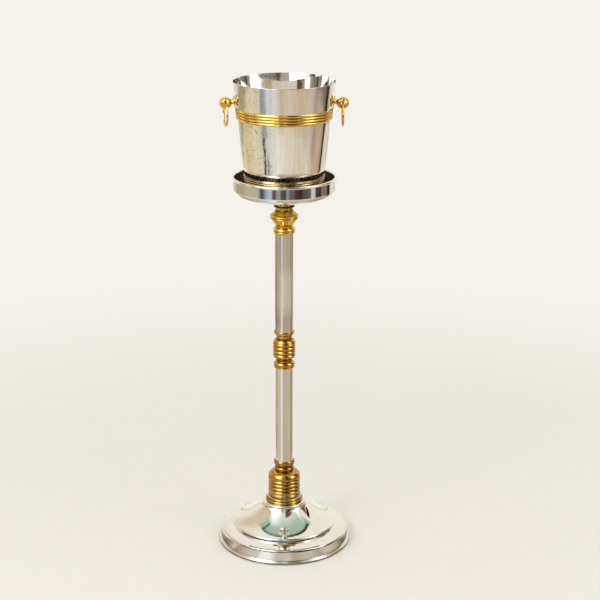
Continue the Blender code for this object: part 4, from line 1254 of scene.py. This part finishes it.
def room():
    """What the metal reflects above the floor: a brown room with white windows on the camera's
    side, a grey-green ceiling and a cream wall behind."""
    world = bpy.data.worlds.new("studio")
    bpy.context.scene.world = world
    start_tree(world)
    x, y, z = axes(coords("Generated"))
    turn = turn_of(x, y)
    rise = calc("ARCSINE", z) * (180 / math.pi)

    # Where a ray meets the ceiling, 2.65 m up.
    far = calc("DIVIDE", 2.65, highest(z, 0.05))
    across, along = x * far, y * far

    look = mix(ease(rise, -3.0, -1.5), by_bearing(turn, SKIRTING), by_bearing(turn, LOW_WALL))
    look = mix(ease(rise, 12.0, 15.0), look, by_bearing(turn, HIGH_WALL))
    # The ceiling starts above the front walls.
    upward = ease(along, -1.15, -0.75) * ease(rise, 38.0, 44.0)
    look = mix(upward, look, ceiling_look(across, along))
    # The wall behind.
    back = mix(ease(across, -1.0, -2.4), CREAM, (0.76, 0.65, 0.45))
    back = mix(ease(rise, 36.0, 10.0), back, CREAM)
    behind = (ease(along, 0.90, 0.96) * ease(z, 0.0, 0.02)
              * ease(absolute(turn - 0.5), 0.33, 0.35))
    look = mix(behind, look, back)
    # A dark door jamb leans across the right end of that wall.
    lean = (turn - 0.5) * 360.0 - (40.0 - rise) * 0.62
    jamb = (ease(absolute(lean - 119.5), 2.3, 1.3)
            * (ease(rise, 22.0, 26.0) * ease(rise, 44.0, 41.0)))
    look = mix(jamb, look, (0.012, 0.010, 0.010))

    path = add_node("ShaderNodeLightPath").outputs
    backdrop, soft = (0.905, 0.885, 0.825), (0.80, 0.79, 0.76)
    look = mix(Wire(path["Is Diffuse Ray"]), look, soft)
    look = mix(Wire(path["Is Camera Ray"]), look, backdrop)
    output(wire("ShaderNodeBackground", {"Color": look}), "ShaderNodeOutputWorld")
    world.cycles.sampling_method = "NONE"


def staged(name, verts, faces, z=0.0):
    mesh = bpy.data.meshes.new(name)
    mesh.from_pydata(verts, [], faces)
    obj = link(name, mesh)
    obj.location.z = z
    return obj


def disc(name, radii, z):
    rings = [[(0.0, 0.0, 0.0)]] + [circle(radius, 0.0, 96) for radius in radii]
    return staged(name, *skin(rings, closed=False, unit=1.0), z)


def reflected_card(card, build):
    """Only reflections see the card; it glows with the colour build gives."""
    for kind in ("camera", "diffuse", "transmission", "volume_scatter", "shadow"):
        setattr(card, "visible_" + kind, False)
    made = bpy.data.materials.new(card.name)
    start_tree(made)
    output(wire("ShaderNodeEmission", {"Color": build()}))
    made.cycles.emission_sampling = "NONE"
    card.data.materials.append(made)


def floor_look():
    """The floor's colour changes with bearing and with distance from the stand."""
    here = coords()
    x, y, _ = axes(here)
    turn, reach = turn_of(x, y), distance(here)
    look = by_bearing(turn, CLOSE_FLOOR)
    for start, end, stops in FLOOR_ZONES:
        look = mix(ease(reach, start, end), look, by_bearing(turn, stops))
    boards = fractal(stretch(here, 1, 0.35, 1), scale=5.5, detail=4, rough=0.6)
    tint = mix(ease(boards, 0.30, 0.68), (0.92, 0.90, 0.86), (1.05, 1.05, 1.05))
    look = mix(1.0, look, tint, "MULTIPLY")
    # The stand's own shade round its foot.
    return mix(ease(reach, 0.150, 0.124), look, (0.10, 0.085, 0.065))


def wall_look():
    x, y, z = axes(coords())
    turn = turn_of(x, y)
    return mix(ease(z, 0.13, 0.18), by_bearing(turn, SKIRTING), by_bearing(turn, WALL_FOOT))


def cards():
    """The floor and the foot of the room's walls, a ring beyond it, as the metal sees them."""
    reflected_card(disc("floor_card", [0.5, 2.0, 7.0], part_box("felt_pad")[0].z - 0.0006),
                   floor_look)
    radius, low, high = 2.84, -0.01, 0.60
    verts, faces = skin([circle(radius, z, 96) for z in (low, high)], closed=False, unit=1.0)
    reflected_card(staged("wall_card", verts, [face[::-1] for face in faces]), wall_look)


def pale_floor():
    """A round pale floor that fades into the backdrop, seen from above only."""
    floor = disc("floor", [0.3, 0.8, 1.6, 2.6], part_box("felt_pad")[0].z - 0.0003)
    floor.visible_glossy = False
    made = bpy.data.materials.new("pale_floor")
    start_tree(made)
    here = coords()
    below = wire("ShaderNodeNewGeometry", output="Backfacing")
    hide = highest(ease(distance(here), 0.35, 1.9), below)
    shade = mix(fractal(here, scale=9, detail=4, rough=0.6),
                (0.86, 0.845, 0.79), (0.89, 0.875, 0.825))
    output(wire("ShaderNodeMixShader", {
        0: hide, 1: wire("ShaderNodeBsdfDiffuse", {"Color": shade}),
        2: wire("ShaderNodeBsdfTransparent")}))
    floor.data.materials.append(made)


def lamp(name, place, size, power, colour):
    data = bpy.data.lights.new(name, "AREA")
    data.shape = "DISK"
    data.size = size
    data.energy = power
    data.color = colour
    obj = link(name, data)
    obj.location = place
    target = Vector((0, 0, 0.4))
    obj.rotation_euler = (target - Vector(place)).to_track_quat("-Z", "Y").to_euler()
    obj.visible_glossy = False
    obj.visible_camera = False


def camera():
    data = bpy.data.cameras.new("camera")
    data.sensor_width, data.lens = 36.0, 95.8
    data.shift_x = 0.0263
    data.clip_start, data.clip_end = 0.05, 60.0
    obj = link("camera", data)
    obj.location = (0.0, -2.925, 1.400)
    downward = 17.16
    obj.rotation_euler = (math.radians(90 - downward), 0.0, 0.0)
    bpy.context.scene.camera = obj


room()
cards()
pale_floor()
lamp("window_light", place=(-1.6, -2.0, 2.4), size=1.4, power=24.0, colour=(1.0, 0.98, 0.94))
lamp("room_light", place=(1.8, -1.2, 2.0), size=1.6, power=9.0, colour=(1.0, 0.95, 0.88))
camera()
bpy.context.scene.view_settings.view_transform = "Standard"
bpy.context.scene.view_settings.look = "None"
